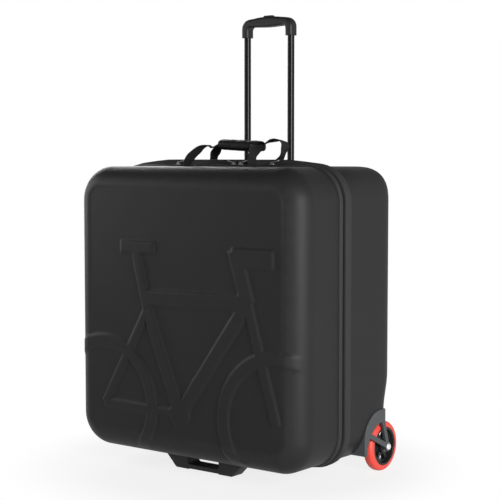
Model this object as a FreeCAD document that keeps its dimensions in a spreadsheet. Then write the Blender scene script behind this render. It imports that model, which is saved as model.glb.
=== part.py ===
import FreeCAD, Part
import math
import os
import re
from types import SimpleNamespace

from FreeCAD import Placement, Rotation, Vector

# A hard travel case for a folded bicycle: two moulded shells joined by a zip round the top and sides
# and by a fabric hinge along the bottom, with a trolley handle, two wheels and a stand foot.
# +X runs along the front face, +Y to the back, +Z up. The origin is on the floor, under the middle.
# Every piece is drawn with y = 0 at the zip seam, then moved back by the same step.

doc = FreeCAD.newDocument("bike_travel_case")

SIZES = {
    # moulded shells
    "case_width": 628, "case_height": 633, "front_depth": 150, "rear_depth": 213,
    "ground_clearance": 37, "corner_radius": 75, "edge_radius": 40, "shell_wall": 5,
    "heel_step": 16, "heel_low": 138, "heel_high": 218, "heel_radius": 70,
    # embossed bicycle on the front face
    "figure_relief": 3.5, "figure_wheelbase": 478, "figure_wheel_radius": 153, "figure_rim_width": 28,
    "figure_axle_height": 106, "figure_tube_width": 30, "figure_stay_width": 18,
    "figure_crank_radius": 28, "figure_seat_height": 457, "figure_bar_height": 446,
    "figure_saddle_length": 98, "figure_bar_length": 118,
    "figure_grip_width": 36, "figure_margin": 2, "figure_saddle_width": 24, "figure_shift": 16,
    "figure_saddle_x": -124, "figure_bar_x": 150, "figure_bar_back": 23, "figure_crank_x": -3,
    "figure_crank_drop": 4,
    # zip seam and its bound edges
    "zip_gap": 0.4, "zip_tooth_width": 2, "zip_tooth_rise": 2.6, "zip_tape_sink": 4, "zip_tape_rise": 1,
    "zip_groove": 8.4, "front_binding_width": 10, "front_binding_rise": 4,
    "rear_binding_width": 21, "rear_binding_rise": 7, "binding_edge_radius": 2.5,
    # fabric hinge at the bottom
    "hinge_drop": 8, "hinge_cord_radius": 3, "hinge_leaf_width": 28, "hinge_leaf_thickness": 2.2,
    "hinge_clearance": 0.3,
    # zip sliders and pull tabs
    "slider_length": 13, "slider_width": 7.6, "slider_height": 3, "slider_clearance": 0.3,
    "ear_height": 4.2, "ear_thickness": 1.2, "pull_length": 20, "pull_thickness": 1.6, "pull_width": 7,
    "pull_pin_radius": 0.8,
    "pull_tilt": 15, "pin_clearance": 0.07, "slider_corner_radius": 2.5, "pull_corner_radius": 2.5,
    "pull_taper": 2, "pull_hole_inset": 5,
    "far_left_slider_x": -133, "left_slider_x": 28, "right_slider_x": 46, "far_right_slider_x": 131,
    # trolley handle
    "tube_spacing": 124, "trolley_behind_seam": 163, "tube_radius": 8, "tube_wall": 1.2, "guide_play": 1.2,
    "guide_wall": 1.2, "running_clearance": 0.06, "tube_overlap": 108, "trolley_travel": 289, "park_gap": 1,
    "bush_length": 30, "plug_length": 25, "plug_spigot_length": 15, "base_height": 28, "base_floor": 8,
    "base_ahead": 24, "base_behind": 18, "base_margin": 18, "base_corner_radius": 8, "base_screw_inset": 36,
    "base_screw_ahead": 17, "base_screw_bite": 14,
    "bezel_thickness": 5, "bezel_depth": 34, "bezel_margin": 22, "bezel_corner_radius": 14,
    "bezel_sink": 1.5, "bezel_screw_reach": 17, "bezel_screw_bite": 8, "collar_wall": 2.2,
    "collar_length": 15,
    # grip and release
    "grip_height": 45, "grip_depth": 26, "grip_leg_wall": 1.8, "grip_crown": 6, "grip_corner_radius": 22,
    "grip_bar_height": 24, "grip_edge_radius": 7, "grip_inner_radius": 8, "socket_depth": 23,
    "grip_screw_inset": 25, "grip_screw_bite": 18, "screw_recess": 3.5, "yoke_height": 6, "yoke_depth": 6,
    "button_length": 26, "button_width": 12, "button_corner_radius": 4, "button_rise": 3, "button_travel": 3,
    "button_clearance": 0.3,
    "rod_radius": 2, "rod_clearance": 0.4,
    # wheels and their housings
    "wheel_diameter": 110, "wheel_width": 24, "tyre_thickness": 12.5, "tyre_edge_radius": 9, "core_rim": 5,
    "core_edge_radius": 1.5, "core_lip": 2, "hub_radius": 16, "hub_width": 26, "web_width": 10,
    "spoke_count": 6, "spoke_width": 8, "window_margin": 3, "window_corner_radius": 2, "spacer_clearance": 1,
    "bearing_radius": 11, "bearing_width": 7, "bore_wall": 1.5, "axle_radius": 4, "axle_clearance": 0.05,
    "axle_behind_seam": 179, "side_gap": 2, "arm_thickness": 6, "arm_width": 11, "boss_radius": 10,
    "housing_rise": 3, "housing_wall": 4, "well_radius": 66, "well_forward": 19, "well_drop": 7,
    "wheel_room": 6, "arch_band": 8, "arch_crown": 28, "arch_radius": 62, "arch_back": 11, "arch_lift": 10,
    "arch_foot_radius": 5, "arch_edge_radius": 1.8, "arm_seat": 7, "front_arm_angle": 154,
    "rear_arm_angle": 108,
    "fit_clearance": 0.2, "axle_head_radius": 7, "axle_head_height": 4, "well_depth": 48,
    # stand foot under the front shell
    "foot_ahead_of_seam": 77, "foot_depth": 40, "foot_width": 172, "foot_taper": 16, "foot_gap_width": 88,
    "foot_bar": 9, "foot_bar_lift": 2.5, "foot_bar_slope": 3, "foot_plate": 4, "foot_edge_radius": 4,
    "foot_gap_radius": 6, "foot_screw_inset": 20, "foot_screw_bite": 20,
    # carry handles
    "strap_thickness": 3, "strap_foot_x": 88, "strap_top_x": 60, "strap_bend_radius": 16,
    "strap_root_radius": 4.5, "strap_bulge_radius": 8, "strap_width": 28, "strap_top_width": 16,
    "front_strap_y": -30, "rear_strap_y": 67, "front_strap_top_y": 34, "rear_strap_top_y": 54,
    "strap_top_rise": 48,
    "anchor_length": 46, "anchor_width": 30, "anchor_thickness": 3, "anchor_gap": 0.5,
    "wrap_length": 112, "wrap_depth": 44, "wrap_height": 26, "wrap_cover": 4, "wrap_edge_radius": 9,
    "wrap_clearance": 0.3,
    # straps inside the tub
    "inner_strap_x": 150, "inner_strap_width": 25, "inner_strap_thickness": 2, "inner_strap_length": 380,
    "inner_strap_rise": 22,
    "buckle_length": 56, "buckle_width": 34, "buckle_thickness": 9, "buckle_corner_radius": 7,
    # fasteners
    "screw_radius": 2, "screw_head_radius": 4, "screw_head_height": 2.2, "seat_clearance": 0.3,
}

sheet = doc.addObject("Spreadsheet::Sheet", "Sizes")
for row, (alias, number) in enumerate(SIZES.items(), 1):
    sheet.set(f"A{row}", str(number))
    sheet.setAlias(f"A{row}", alias)
doc.recompute()
s = SimpleNamespace(**{alias: float(sheet.get(alias)) for alias in SIZES})

# Levels and places that several pieces share
case_bottom = s.ground_clearance
case_top = s.ground_clearance + s.case_height
side = s.case_width / 2
shell_edge = s.zip_gap / 2 + s.zip_tooth_width
straight_run = s.case_width - 2 * s.corner_radius
hinge_height = case_bottom - s.hinge_drop
SEAM = "(front_depth + figure_relief - axle_behind_seam - wheel_diameter / 2) / 2"

nodes = {}
X_AXIS, Y_AXIS, Z_AXIS = Vector(1, 0, 0), Vector(0, 1, 0), Vector(0, 0, 1)


def sized(formula):
    """Write a formula of size names as a formula of the sheet's cells."""
    return re.sub(r"[a-z][a-z_]+", lambda word: f"Sizes.{word.group()}", formula)


def bind(thing, prop, formula):
    thing.setExpression(prop, sized(formula))


def node(label, thing):
    """Name a finished piece and move it from the seam to the case's own origin."""
    if thing.TypeId in ("Part::Box", "Part::Cylinder"):
        thing = group(thing)
    thing.Label = label
    bind(thing, "Placement.Base.y", SEAM)
    nodes[label] = thing
    return thing


def box(length, width, height, corner):
    block = doc.addObject("Part::Box", "Block")
    for prop, formula in (("Length", length), ("Width", width), ("Height", height)):
        bind(block, prop, formula)
    block.Placement.Base = Vector(*corner)
    return block


def rod(radius, length, start, axis=Z_AXIS):
    cylinder = doc.addObject("Part::Cylinder", "Rod")
    bind(cylinder, "Radius", radius)
    bind(cylinder, "Height", length)
    cylinder.Placement = Placement(Vector(*start), Rotation(Z_AXIS, axis))
    return cylinder


def group(*things):
    """Separate solids that share one node."""
    compound = doc.addObject("Part::Compound", "Group")
    compound.Links = list(things)
    return compound


def fuse(*things):
    union = doc.addObject("Part::MultiFuse", "Union")
    union.Shapes = list(things)
    return union


def cut(base, *tools):
    difference = doc.addObject("Part::Cut", "Difference")
    difference.Base = base
    difference.Tool = tools[0] if len(tools) == 1 else fuse(*tools)
    return difference


def common(base, tool):
    overlap = doc.addObject("Part::Common", "Overlap")
    overlap.Base, overlap.Tool = base, tool
    return overlap


def mirrored(thing):
    """The same piece on the other side of the case."""
    copy = doc.addObject("Part::Mirroring", "Mirrored")
    copy.Source, copy.Normal = thing, X_AXIS
    return copy


def pair(label, right):
    """A piece on the right of the case and its twin on the left."""
    node(f"{label}_right", group(right))
    node(f"{label}_left", mirrored(right))


def outline(corners):
    """Lines and tangent arcs through corners given as (across, up, radius)."""
    points = [Vector(across, up, 0) for across, up, _ in corners]
    starts, ends, arcs = [], [], []
    for index, (_, _, radius) in enumerate(corners):
        here = points[index]
        back = (points[index - 1] - here).normalize()
        ahead = (points[(index + 1) % len(points)] - here).normalize()
        if not radius:
            starts.append(here)
            ends.append(here)
            continue
        half = math.acos(max(-1, min(1, back.dot(ahead)))) / 2
        reach = radius / math.tan(half)
        middle = (back + ahead).normalize()
        tip = here + middle * (radius / math.sin(half) - radius)
        starts.append(here + back * reach)
        ends.append(here + ahead * reach)
        arcs.append(Part.Arc(starts[-1], tip, ends[-1]))
    lines = []
    for index, end in enumerate(ends):
        following = starts[(index + 1) % len(starts)]
        if end.distanceToPoint(following) > 1e-6:
            lines.append(Part.LineSegment(end, following))
    return lines + arcs


def rectangle(left, bottom, right, top, radius=0):
    corners = [(left, bottom), (right, bottom), (right, top), (left, top)]
    return outline([(across, up, radius) for across, up in corners])


def case_outline(offset):
    """The case's front view, grown outwards by an offset."""
    return rectangle(-side - offset, case_bottom - offset, side + offset, case_top + offset,
                     s.corner_radius + offset)


def new_body(name):
    return doc.addObject("PartDesign::Body", name)


def sketch(body, plane, offset, edges):
    """A closed profile on one of the body's origin planes, lifted along that plane's normal."""
    drawing = body.newObject("Sketcher::SketchObject", f"{body.Name}_profile")
    support = next(item for item in body.Origin.OriginFeatures if item.Role == plane)
    drawing.AttachmentSupport = [(support, "")]
    drawing.MapMode = "FlatFace"
    drawing.AttachmentOffset = Placement(Vector(0, 0, offset), Rotation())
    for edge in edges:
        drawing.addGeometry(edge, False)
    return drawing


def pad(body, plane, offset, edges, length, back=False, both=False):
    feature = body.newObject("PartDesign::Pad", f"{body.Name}_pad")
    feature.Profile = sketch(body, plane, offset, edges)
    bind(feature, "Length", length)
    feature.Reversed = back
    if both:
        feature.SideType = "Symmetric"
    doc.recompute()
    return feature


def pocket(body, plane, offset, edges):
    """A cut right through the body, both ways from the sketch."""
    before = body.Shape.Volume
    feature = body.newObject("PartDesign::Pocket", f"{body.Name}_pocket")
    feature.Profile = sketch(body, plane, offset, edges)
    feature.Type = "ThroughAll"
    feature.SideType = "Symmetric"
    doc.recompute()
    if body.Shape.Volume > before - 1:
        raise RuntimeError(f"{body.Name}: a pocket cut nothing")
    return feature


def revolve(body, edges):
    """A profile in the XZ plane turned about the X axis."""
    feature = body.newObject("PartDesign::Revolution", f"{body.Name}_turned")
    feature.Profile = sketch(body, "XZ_Plane", 0, edges)
    feature.ReferenceAxis = (feature.Profile[0], ["H_Axis"])
    feature.Angle = 360
    doc.recompute()
    return feature


def round_edges(body, base, radius, chosen):
    """Fillet the edges of a feature that pass a test."""
    feature = body.newObject("PartDesign::Fillet", f"{body.Name}_fillet")
    feature.Base = (base, [f"Edge{i}" for i, edge in enumerate(base.Shape.Edges, 1) if chosen(edge)])
    bind(feature, "Radius", radius)
    doc.recompute()
    return feature


def lies_at(axis, place):
    """A test for edges that lie in the plane where one coordinate has a given value."""
    return lambda edge: all(abs(getattr(v.Point, axis) - place) < 1e-4 for v in edge.Vertexes)


# Moulded shells: a rounded block with a rolled far edge, hollowed from the seam
def heel_outline(far):
    """The space behind the rear shell's heel, where the back steps forward above the wheels."""
    step_y, clear_y = far - s.heel_step, far + s.edge_radius
    return outline([
        (far, s.heel_high + s.heel_radius, 0), (far, s.heel_high, s.heel_radius),
        (step_y, s.heel_low, s.heel_radius), (step_y, -case_bottom, 0), (clear_y, -case_bottom, 0),
        (clear_y, s.heel_high + s.heel_radius, 0)])


def rolled_edge(far, stepped):
    """A test for the edges round the far face, also where that face steps forward."""
    reach = s.heel_step if stepped else 0

    def chosen(edge):
        across = edge.BoundBox.XLength > straight_run + 2 * s.corner_radius - 1
        return not across and all(abs(v.Point.y) > abs(far) - reach - 1e-4 for v in edge.Vertexes)

    return chosen


def case_form(name, depth, back, grow=0):
    """The solid form of a shell, grown outwards where another piece has to clear it."""
    body = new_body(name)
    edge = -shell_edge if back else shell_edge
    length = f"{depth} + {grow} - zip_gap / 2 - zip_tooth_width"
    form = pad(body, "XZ_Plane", edge, case_outline(grow), length, back)
    far = getattr(s, depth) + grow
    if back:
        form = pocket(body, "YZ_Plane", 0, heel_outline(far))
    return body, round_edges(body, form, f"edge_radius + {grow}", rolled_edge(far, back))


def hollow(body, form, mouth):
    feature = body.newObject("PartDesign::Thickness", f"{body.Name}_wall")
    faces = [f"Face{i}" for i, face in enumerate(form.Shape.Faces, 1)
             if abs(face.CenterOfMass.y - mouth) < 1e-4]
    feature.Base = (form, faces)
    bind(feature, "Value", "shell_wall")
    feature.Reversed = True
    doc.recompute()
    return body


front_tub = hollow(*case_form("front_tub", "front_depth", False), -shell_edge)
rear_tub = hollow(*case_form("rear_tub", "rear_depth", True), shell_edge)
rear_form, _ = case_form("rear_form", "rear_depth", True)
rear_room, _ = case_form("rear_room", "rear_depth", True, s.seat_clearance)


# Embossed bicycle: wheels as rings cropped by the face, frame tubes as flat bars
figure_root = 1
figure_face = -s.front_depth - s.figure_relief


def figure_bar(start, end, width):
    """A flat raised bar from one point of the front face to another."""
    run = Vector(end[0] - start[0], 0, end[1] - start[1])
    bar = doc.addObject("Part::Box", "FigureBar")
    bar.Length = run.Length
    bind(bar, "Width", f"figure_relief + {figure_root}")
    bind(bar, "Height", width)
    turn = Rotation(X_AXIS, run)
    drop = turn.multVec(Z_AXIS) * (bar.Height.Value / 2)
    bar.Placement = Placement(Vector(start[0], figure_face, start[1]) - drop, turn)
    return bar


def figure_disc(centre, radius):
    return rod(radius, f"figure_relief + {figure_root}", (centre[0], figure_face, centre[1]), Y_AXIS)


def figure():
    axle_height = case_bottom + s.figure_axle_height
    rear_hub = (s.figure_shift - s.figure_wheelbase / 2, axle_height)
    front_hub = (s.figure_shift + s.figure_wheelbase / 2, axle_height)
    crank = (s.figure_crank_x, axle_height - s.figure_crank_drop)
    saddle = (s.figure_saddle_x, case_bottom + s.figure_seat_height)
    bars = (s.figure_bar_x, case_bottom + s.figure_bar_height)
    bar_back = bars[0] - s.figure_bar_back
    saddle_half = s.figure_saddle_length / 2
    along_seat = 0.21
    seat_lug = tuple(a + (b - a) * along_seat for a, b in zip(saddle, crank))
    along_fork = 0.3
    head_lug = tuple(a + (b - a) * along_fork for a, b in zip(bars, front_hub))
    tube, stay = "figure_tube_width", "figure_stay_width"
    pieces = [
        figure_bar(saddle, crank, tube),
        figure_bar(seat_lug, head_lug, tube),
        figure_bar(head_lug, crank, tube),
        figure_bar(bars, head_lug, tube),
        figure_bar(head_lug, front_hub, stay),
        figure_bar(seat_lug, rear_hub, stay),
        figure_bar(crank, rear_hub, stay),
        figure_bar((saddle[0] - saddle_half, saddle[1]), (saddle[0] + saddle_half, saddle[1]),
                   "figure_saddle_width"),
        figure_bar((bar_back, bars[1]), (bar_back + s.figure_bar_length, bars[1]), "figure_grip_width"),
        figure_disc(crank, "figure_crank_radius"),
        figure_disc(seat_lug, "figure_tube_width / 2"),
        figure_disc(head_lug, "figure_tube_width / 2"),
    ]
    for hub in (rear_hub, front_hub):
        ring = cut(figure_disc(hub, "figure_wheel_radius"),
                   figure_disc(hub, "figure_wheel_radius - figure_rim_width"))
        pieces.append(ring)
    face = new_body("figure_face")
    inset = -s.edge_radius - s.figure_margin
    pad(face, "XZ_Plane", s.front_depth - figure_root, case_outline(inset), f"figure_relief + {figure_root}")
    return common(fuse(*pieces), face)


# Bound edges and zip halves: closed rings round the seam, open along the hinge
def rim(name, low, high, inner, outer, rounded=False):
    """A ring from y = low to y = high between two offsets of the case's outline."""
    body = new_body(name)
    ring = pad(body, "XZ_Plane", -low, case_outline(outer) + case_outline(inner), f"{high - low}", back=True)
    if rounded:
        crest = case_top + outer
        round_edges(body, ring, "binding_edge_radius", lambda edge: edge.BoundBox.ZMax > crest - 1e-4)
    return body


def open_below(ring):
    """Leave out the straight run along the bottom, where the hinge is."""
    reach = 2 * s.corner_radius
    slab = doc.addObject("Part::Box", "HingeRun")
    bind(slab, "Length", "case_width - 2 * corner_radius")
    slab.Width, slab.Height = reach, s.corner_radius
    slab.Placement.Base = Vector(-straight_run / 2, -reach / 2, case_bottom - s.corner_radius / 2)
    return cut(ring, slab)


groove = s.zip_groove / 2
for name, sign in (("front", -1), ("rear", 1)):
    width = getattr(s, f"{name}_binding_width")
    rise = getattr(s, f"{name}_binding_rise")
    near, far = sorted((sign * groove, sign * (groove + width)))
    node(f"{name}_rim_binding", open_below(rim(f"{name}_binding", near, far, 0, rise, rounded=True)))
    tooth = sorted((sign * s.zip_gap / 2, sign * shell_edge))
    tape = sorted((sign * shell_edge, sign * groove))
    teeth = rim(f"{name}_teeth", *tooth, -s.zip_tape_sink, s.zip_tooth_rise)
    band = rim(f"{name}_tape", *tape, 0, s.zip_tape_rise)
    node(f"{name}_zip_half", open_below(fuse(teeth, band)))


# Fabric hinge: two leaves under the shells; the rear one is sewn round the piping cord they fold about
def hinge_leaf(name, sign):
    top, low = case_bottom, case_bottom - s.hinge_leaf_thickness
    reach = s.hinge_cord_radius + s.hinge_clearance
    shoulder = 2 * (reach + s.hinge_leaf_thickness)
    far = s.hinge_leaf_width + shell_edge
    profile = [(sign * far, top, 0), (sign * far, low, 0),
               (sign * shoulder, low, 0), (sign * reach, hinge_height + reach / 2, 0),
               (sign * reach / 3, hinge_height + reach, 0), (sign * reach / 3, top, 0)]
    body = new_body(name)
    pad(body, "YZ_Plane", 0, outline(profile), "case_width - 2 * corner_radius", both=True)
    return body


node("hinge_leaf_front", hinge_leaf("leaf_front", -1))
hinge_cord = rod("hinge_cord_radius", "case_width - 2 * corner_radius",
                 (-straight_run / 2, 0, hinge_height), X_AXIS)
hinge_spine = box("case_width - 2 * corner_radius", "hinge_cord_radius", "hinge_drop",
                  (-straight_run / 2, s.hinge_clearance, hinge_height))
node("hinge_leaf_rear", fuse(hinge_leaf("leaf_rear", 1), hinge_cord, hinge_spine))


# Fasteners: a pan head on the surface and a shank into what it holds
def screw(head, direction, length):
    """A screw whose head stands on a surface at the given point and whose shank runs along a direction."""
    seat = Vector(*head)
    shank = rod("screw_radius", str(length), seat, direction)
    cap = rod("screw_head_radius", "screw_head_height", seat - direction * s.screw_head_height, direction)
    return fuse(shank, cap)


def screw_hole(head, direction, length):
    return rod("screw_radius + fit_clearance", str(length), head, direction)


# Trolley: guide tubes in the tub, between a base block on its floor and a bezel on its top
tube_x = s.tube_spacing / 2
trolley_y = s.trolley_behind_seam
guide_bore = "tube_radius + guide_play"
guide_outside = "tube_radius + guide_play + guide_wall"
floor = case_bottom + s.shell_wall
guide_low = floor + s.base_floor
guide_high = case_top
guide_length = "ground_clearance + case_height - (ground_clearance + shell_wall + base_floor)"
bezel_top = case_top + s.bezel_thickness
grip_low = bezel_top + s.park_gap + s.trolley_travel
grip_top = grip_low + s.grip_height
tube_low = case_top - s.tube_overlap
tube_high = grip_low + s.socket_depth
tube_length = "tube_overlap + bezel_thickness + park_gap + trolley_travel + socket_depth"
tube_sides = {"left": -tube_x, "right": tube_x}

bushes, plugs = [], []
for name, x in tube_sides.items():
    guide = rod(guide_outside, guide_length, (x, trolley_y, guide_low))
    node(f"guide_tube_{name}", cut(guide, rod(guide_bore, guide_length, (x, trolley_y, guide_low))))
    tube = rod("tube_radius", tube_length, (x, trolley_y, tube_low))
    tube_bore = rod("tube_radius - tube_wall", tube_length, (x, trolley_y, tube_low))
    node(f"inner_tube_{name}", cut(tube, tube_bore))
    bush_low = guide_high - s.bush_length
    bush = rod(guide_bore, "bush_length", (x, trolley_y, bush_low))
    bushes.append(cut(bush, rod("tube_radius + running_clearance", "bush_length", (x, trolley_y, bush_low))))
    plug_low = tube_low - s.plug_length
    plug = rod(f"{guide_bore} - running_clearance", "plug_length", (x, trolley_y, plug_low))
    spigot = rod("tube_radius - tube_wall", "plug_spigot_length", (x, trolley_y, tube_low))
    plug_bore = rod("rod_radius + rod_clearance", "plug_length + plug_spigot_length",
                    (x, trolley_y, plug_low))
    plugs.append(cut(fuse(plug, spigot), plug_bore))
node("guide_bushes", group(*bushes))
node("slide_plugs", group(*plugs))

# Base block with a socket for each guide tube, shaped to the rounded floor of the tub
base_half = tube_x + s.base_margin
base_body = new_body("base_block")
pad(base_body, "XY_Plane", floor,
    rectangle(-base_half, trolley_y - s.base_ahead, base_half, trolley_y + s.base_behind,
              s.base_corner_radius), "base_height")
sockets = [rod(guide_outside, "base_height", (x, trolley_y, guide_low)) for x in tube_sides.values()]
base_spots = [(sign * x, trolley_y - s.base_screw_ahead, case_bottom)
              for sign in (-1, 1) for x in (tube_x - s.base_screw_inset, tube_x)]
base_screw_length = s.shell_wall + s.base_screw_bite
base_holes = [screw_hole(spot, Z_AXIS, base_screw_length) for spot in base_spots]
node("trolley_base", cut(common(base_body, rear_form), rear_tub, *sockets, *base_holes))
node("trolley_base_screws", group(*[screw(spot, Z_AXIS, base_screw_length) for spot in base_spots]))

# Bezel on the top: a plate that follows the shell's rolled edge and a collar round each guide tube
bezel_half = tube_x + s.bezel_margin
bezel_body = new_body("bezel_plate")
bezel_pad = pad(bezel_body, "XY_Plane", case_top - s.bezel_sink,
                rectangle(-bezel_half, trolley_y - s.bezel_depth / 2,
                          bezel_half, trolley_y + s.bezel_depth / 2, s.bezel_corner_radius),
                "bezel_sink + bezel_thickness")
round_edges(bezel_body, bezel_pad, "bezel_thickness / 2", lies_at("z", bezel_top))
collar_outside = f"{guide_outside} + collar_wall"
collar_low = case_top - s.collar_length
collars = [rod(collar_outside, "collar_length", (x, trolley_y, collar_low)) for x in tube_sides.values()]
seats = [rod(guide_outside, "collar_length", (x, trolley_y, collar_low)) for x in tube_sides.values()]
passes = [rod("tube_radius + rod_clearance", "bezel_thickness", (x, trolley_y, case_top))
          for x in tube_sides.values()]
bezel_spots = [(x + step, trolley_y, bezel_top)
               for x in tube_sides.values() for step in (-s.bezel_screw_reach, s.bezel_screw_reach)]
bezel_screw_length = s.bezel_thickness + s.bezel_screw_bite
bezel_holes = [screw_hole(spot, -Z_AXIS, bezel_screw_length) for spot in bezel_spots]
node("trolley_bezel", cut(fuse(cut(bezel_body, rear_form), *collars), *seats, *passes, *bezel_holes))
node("trolley_bezel_screws", group(*[screw(spot, -Z_AXIS, bezel_screw_length) for spot in bezel_spots]))

# Grip: an arched bar with two legs, moulded in two halves that close round the tubes and the release
leg_half = s.tube_radius + s.grip_leg_wall
leg_out, leg_in = tube_x + leg_half, tube_x - leg_half
bar_under = grip_top - s.grip_bar_height
corner_top = grip_top - s.grip_crown
top_rise, belly = 4 / 3 * s.grip_crown, s.grip_crown / 2
crown_share = 0.4


def crown_radius(half_span, rise):
    """The radius that rounds a shallow apex over the same share of its span."""
    return crown_share * half_span ** 2 / rise


grip_body = new_body("grip_block")
grip_pad = pad(grip_body, "XZ_Plane", -trolley_y, outline([
    (-leg_out, grip_low, 0), (-leg_in, grip_low, 0), (-leg_in, bar_under + belly, s.grip_inner_radius),
    (0, bar_under, crown_radius(leg_in, belly)), (leg_in, bar_under + belly, s.grip_inner_radius),
    (leg_in, grip_low, 0), (leg_out, grip_low, 0),
    (leg_out, corner_top, s.grip_corner_radius),
    (0, corner_top + top_rise, crown_radius(leg_out, top_rise)),
    (-leg_out, corner_top, s.grip_corner_radius)]), "grip_depth", both=True)
round_edges(grip_body, grip_pad, "grip_edge_radius",
            lambda edge: edge.BoundBox.YLength < 1e-4 and edge.BoundBox.ZMax > grip_low + 1)
yoke_low = tube_high + s.button_travel + s.button_clearance
yoke_half = tube_x + s.rod_radius
slack = s.button_clearance
grip_tools = [
    box("tube_spacing + 2 * rod_radius + 2 * button_clearance", "yoke_depth + 2 * button_clearance",
        "yoke_height + button_travel + 2 * button_clearance",
        (-yoke_half - slack, trolley_y - s.yoke_depth / 2 - slack, tube_high)),
    box("button_length + 2 * button_clearance", "button_width + 2 * button_clearance", "grip_height",
        (-s.button_length / 2 - slack, trolley_y - s.button_width / 2 - slack, tube_high))]
grip_tools += [rod("tube_radius", "socket_depth", (x, trolley_y, grip_low)) for x in tube_sides.values()]
yoke_room_top = yoke_low + s.yoke_height + slack
grip_screw_z = yoke_room_top + s.screw_radius + 4 * s.fit_clearance
grip_back = trolley_y + s.grip_depth / 2
grip_screw_x = tube_x - s.grip_screw_inset
grip_spots = [(sign * grip_screw_x, grip_back - s.screw_recess, grip_screw_z) for sign in (-1, 1)]
grip_tools += [screw_hole(spot, -Y_AXIS, s.grip_screw_bite) for spot in grip_spots]
grip_tools += [rod("screw_head_radius + fit_clearance", "grip_depth", spot, Y_AXIS) for spot in grip_spots]
for name, start in (("front", trolley_y - s.grip_depth), ("rear", trolley_y)):
    half = box("2 * tube_spacing", "grip_depth", "2 * grip_height", (-s.tube_spacing, start, grip_low))
    node(f"grip_{name}_half", common(cut(grip_body, *grip_tools), half))
node("grip_screws", group(*[screw(spot, -Y_AXIS, s.grip_screw_bite) for spot in grip_spots]))

# Release: the button stands on a yoke that pushes a rod down each tube
button_body = new_body("button_block")
button_high = grip_top + s.button_rise
button_pad = pad(button_body, "XY_Plane", yoke_low + s.yoke_height,
                 rectangle(-s.button_length / 2, trolley_y - s.button_width / 2,
                           s.button_length / 2, trolley_y + s.button_width / 2, s.button_corner_radius),
                 str(button_high - yoke_low - s.yoke_height))
round_edges(button_body, button_pad, "button_rise / 2", lies_at("z", button_high))
node("release_button", button_body)
node("release_yoke", box("tube_spacing + 2 * rod_radius", "yoke_depth", "yoke_height",
                         (-yoke_half, trolley_y - s.yoke_depth / 2, yoke_low)))
rod_length = yoke_low - (tube_low - s.plug_length / 2)
node("release_rods", group(*[rod("rod_radius", str(rod_length), (x, trolley_y, yoke_low - rod_length))
                             for x in tube_sides.values()]))

# Wheels: a round-shouldered tyre on a spoked core, with two bearings and a spacer on the axle bolt
axle_y, axle_z = s.axle_behind_seam, s.wheel_diameter / 2
outer_face = side + s.housing_rise
arm_inside = outer_face - s.arm_thickness
hub_outside = arm_inside - s.side_gap
wheel_x = hub_outside - s.hub_width / 2
wheel_radius = s.wheel_diameter / 2
core_radius = wheel_radius - s.tyre_thickness


def turned(name, corners):
    """A wheel piece: a profile of (along axle, from axle, radius) turned about the axle."""
    body = new_body(name)
    revolve(body, outline(corners))
    return body


def at_axle(piece):
    piece.Placement.Base = Vector(wheel_x, axle_y, axle_z)
    return piece


def tyre():
    half = s.wheel_width / 2
    return turned("tyre", [
        (-half, core_radius, 0), (half, core_radius, 0),
        (half, wheel_radius, s.tyre_edge_radius), (-half, wheel_radius, s.tyre_edge_radius)])


def wheel_core():
    half, hub_half, web = s.wheel_width / 2, s.hub_width / 2, s.web_width / 2
    rim_low = core_radius - s.core_rim
    bore = s.axle_radius + s.bore_wall + s.spacer_clearance
    seat = hub_half - s.bearing_width
    edge, lip = s.core_edge_radius, rim_low - s.core_lip
    right_side = [
        (seat, bore, 0), (seat, s.bearing_radius, 0), (hub_half, s.bearing_radius, 0),
        (hub_half, s.hub_radius, edge), (web, s.hub_radius, 0), (web, lip, 0), (half, rim_low, edge),
        (half, core_radius, 0)]
    left_side = [(-along, radius, rounding) for along, radius, rounding in reversed(right_side)]
    body = turned("core", left_side + right_side)
    low, high = s.hub_radius + s.window_margin, lip - s.window_margin / 2
    step = math.pi / s.spoke_count
    corners = []
    for radius, signs in ((low, (-1, 1)), (high, (1, -1))):
        for sign in signs:
            turn = sign * (step - s.spoke_width / 2 / radius)
            corners.append((radius * math.sin(turn), radius * math.cos(turn), s.window_corner_radius))
    window = pocket(body, "YZ_Plane", 0, outline(corners))
    pattern = body.newObject("PartDesign::PolarPattern", "windows")
    pattern.Originals = [window]
    axis = next(item for item in body.Origin.OriginFeatures if item.Role == "X_Axis")
    pattern.Axis = (axis, [""])
    pattern.Angle = 360
    pattern.Occurrences = int(s.spoke_count)
    body.Tip = pattern
    doc.recompute()
    return body


def bearings():
    half, width = s.hub_width / 2, s.bearing_width
    rings = []
    for start in (-half, half - width):
        race = rod("bearing_radius", "bearing_width", (start, 0, 0), X_AXIS)
        rings.append(cut(race, rod("axle_radius + axle_clearance", "bearing_width", (start, 0, 0), X_AXIS)))
    return group(*rings)


def spacer():
    length = "hub_width - 2 * bearing_width"
    start = (-s.hub_width / 2 + s.bearing_width, 0, 0)
    sleeve = rod("axle_radius + bore_wall", length, start, X_AXIS)
    return cut(sleeve, rod("axle_radius + axle_clearance", length, start, X_AXIS))


wheel_pieces = {"tyre": tyre, "wheel_core": wheel_core, "bearings": bearings, "wheel_spacer": spacer}
for name, build in wheel_pieces.items():
    pair(name, at_axle(build()))


# Wheel housings: an arched block round the case's lower corner, a cup through the shell and a V-shaped arm
well_y, well_z = axle_y - s.well_forward, axle_z - s.well_drop
cup_inside = outer_face - s.well_depth - s.housing_wall
well_back = "wheel_diameter / 2 + wheel_room"
overshoot = 1


def well(grow, start):
    """The space round the wheel, from an inner wall outwards: a wide arc ahead and a close one behind."""
    length = str(outer_face + overshoot - start)
    ahead = rod(f"well_radius + {grow}", length, (start, well_y, well_z), X_AXIS)
    behind = rod(f"{well_back} + {grow}", length, (start, axle_y, axle_z), X_AXIS)
    return fuse(ahead, behind)


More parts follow.
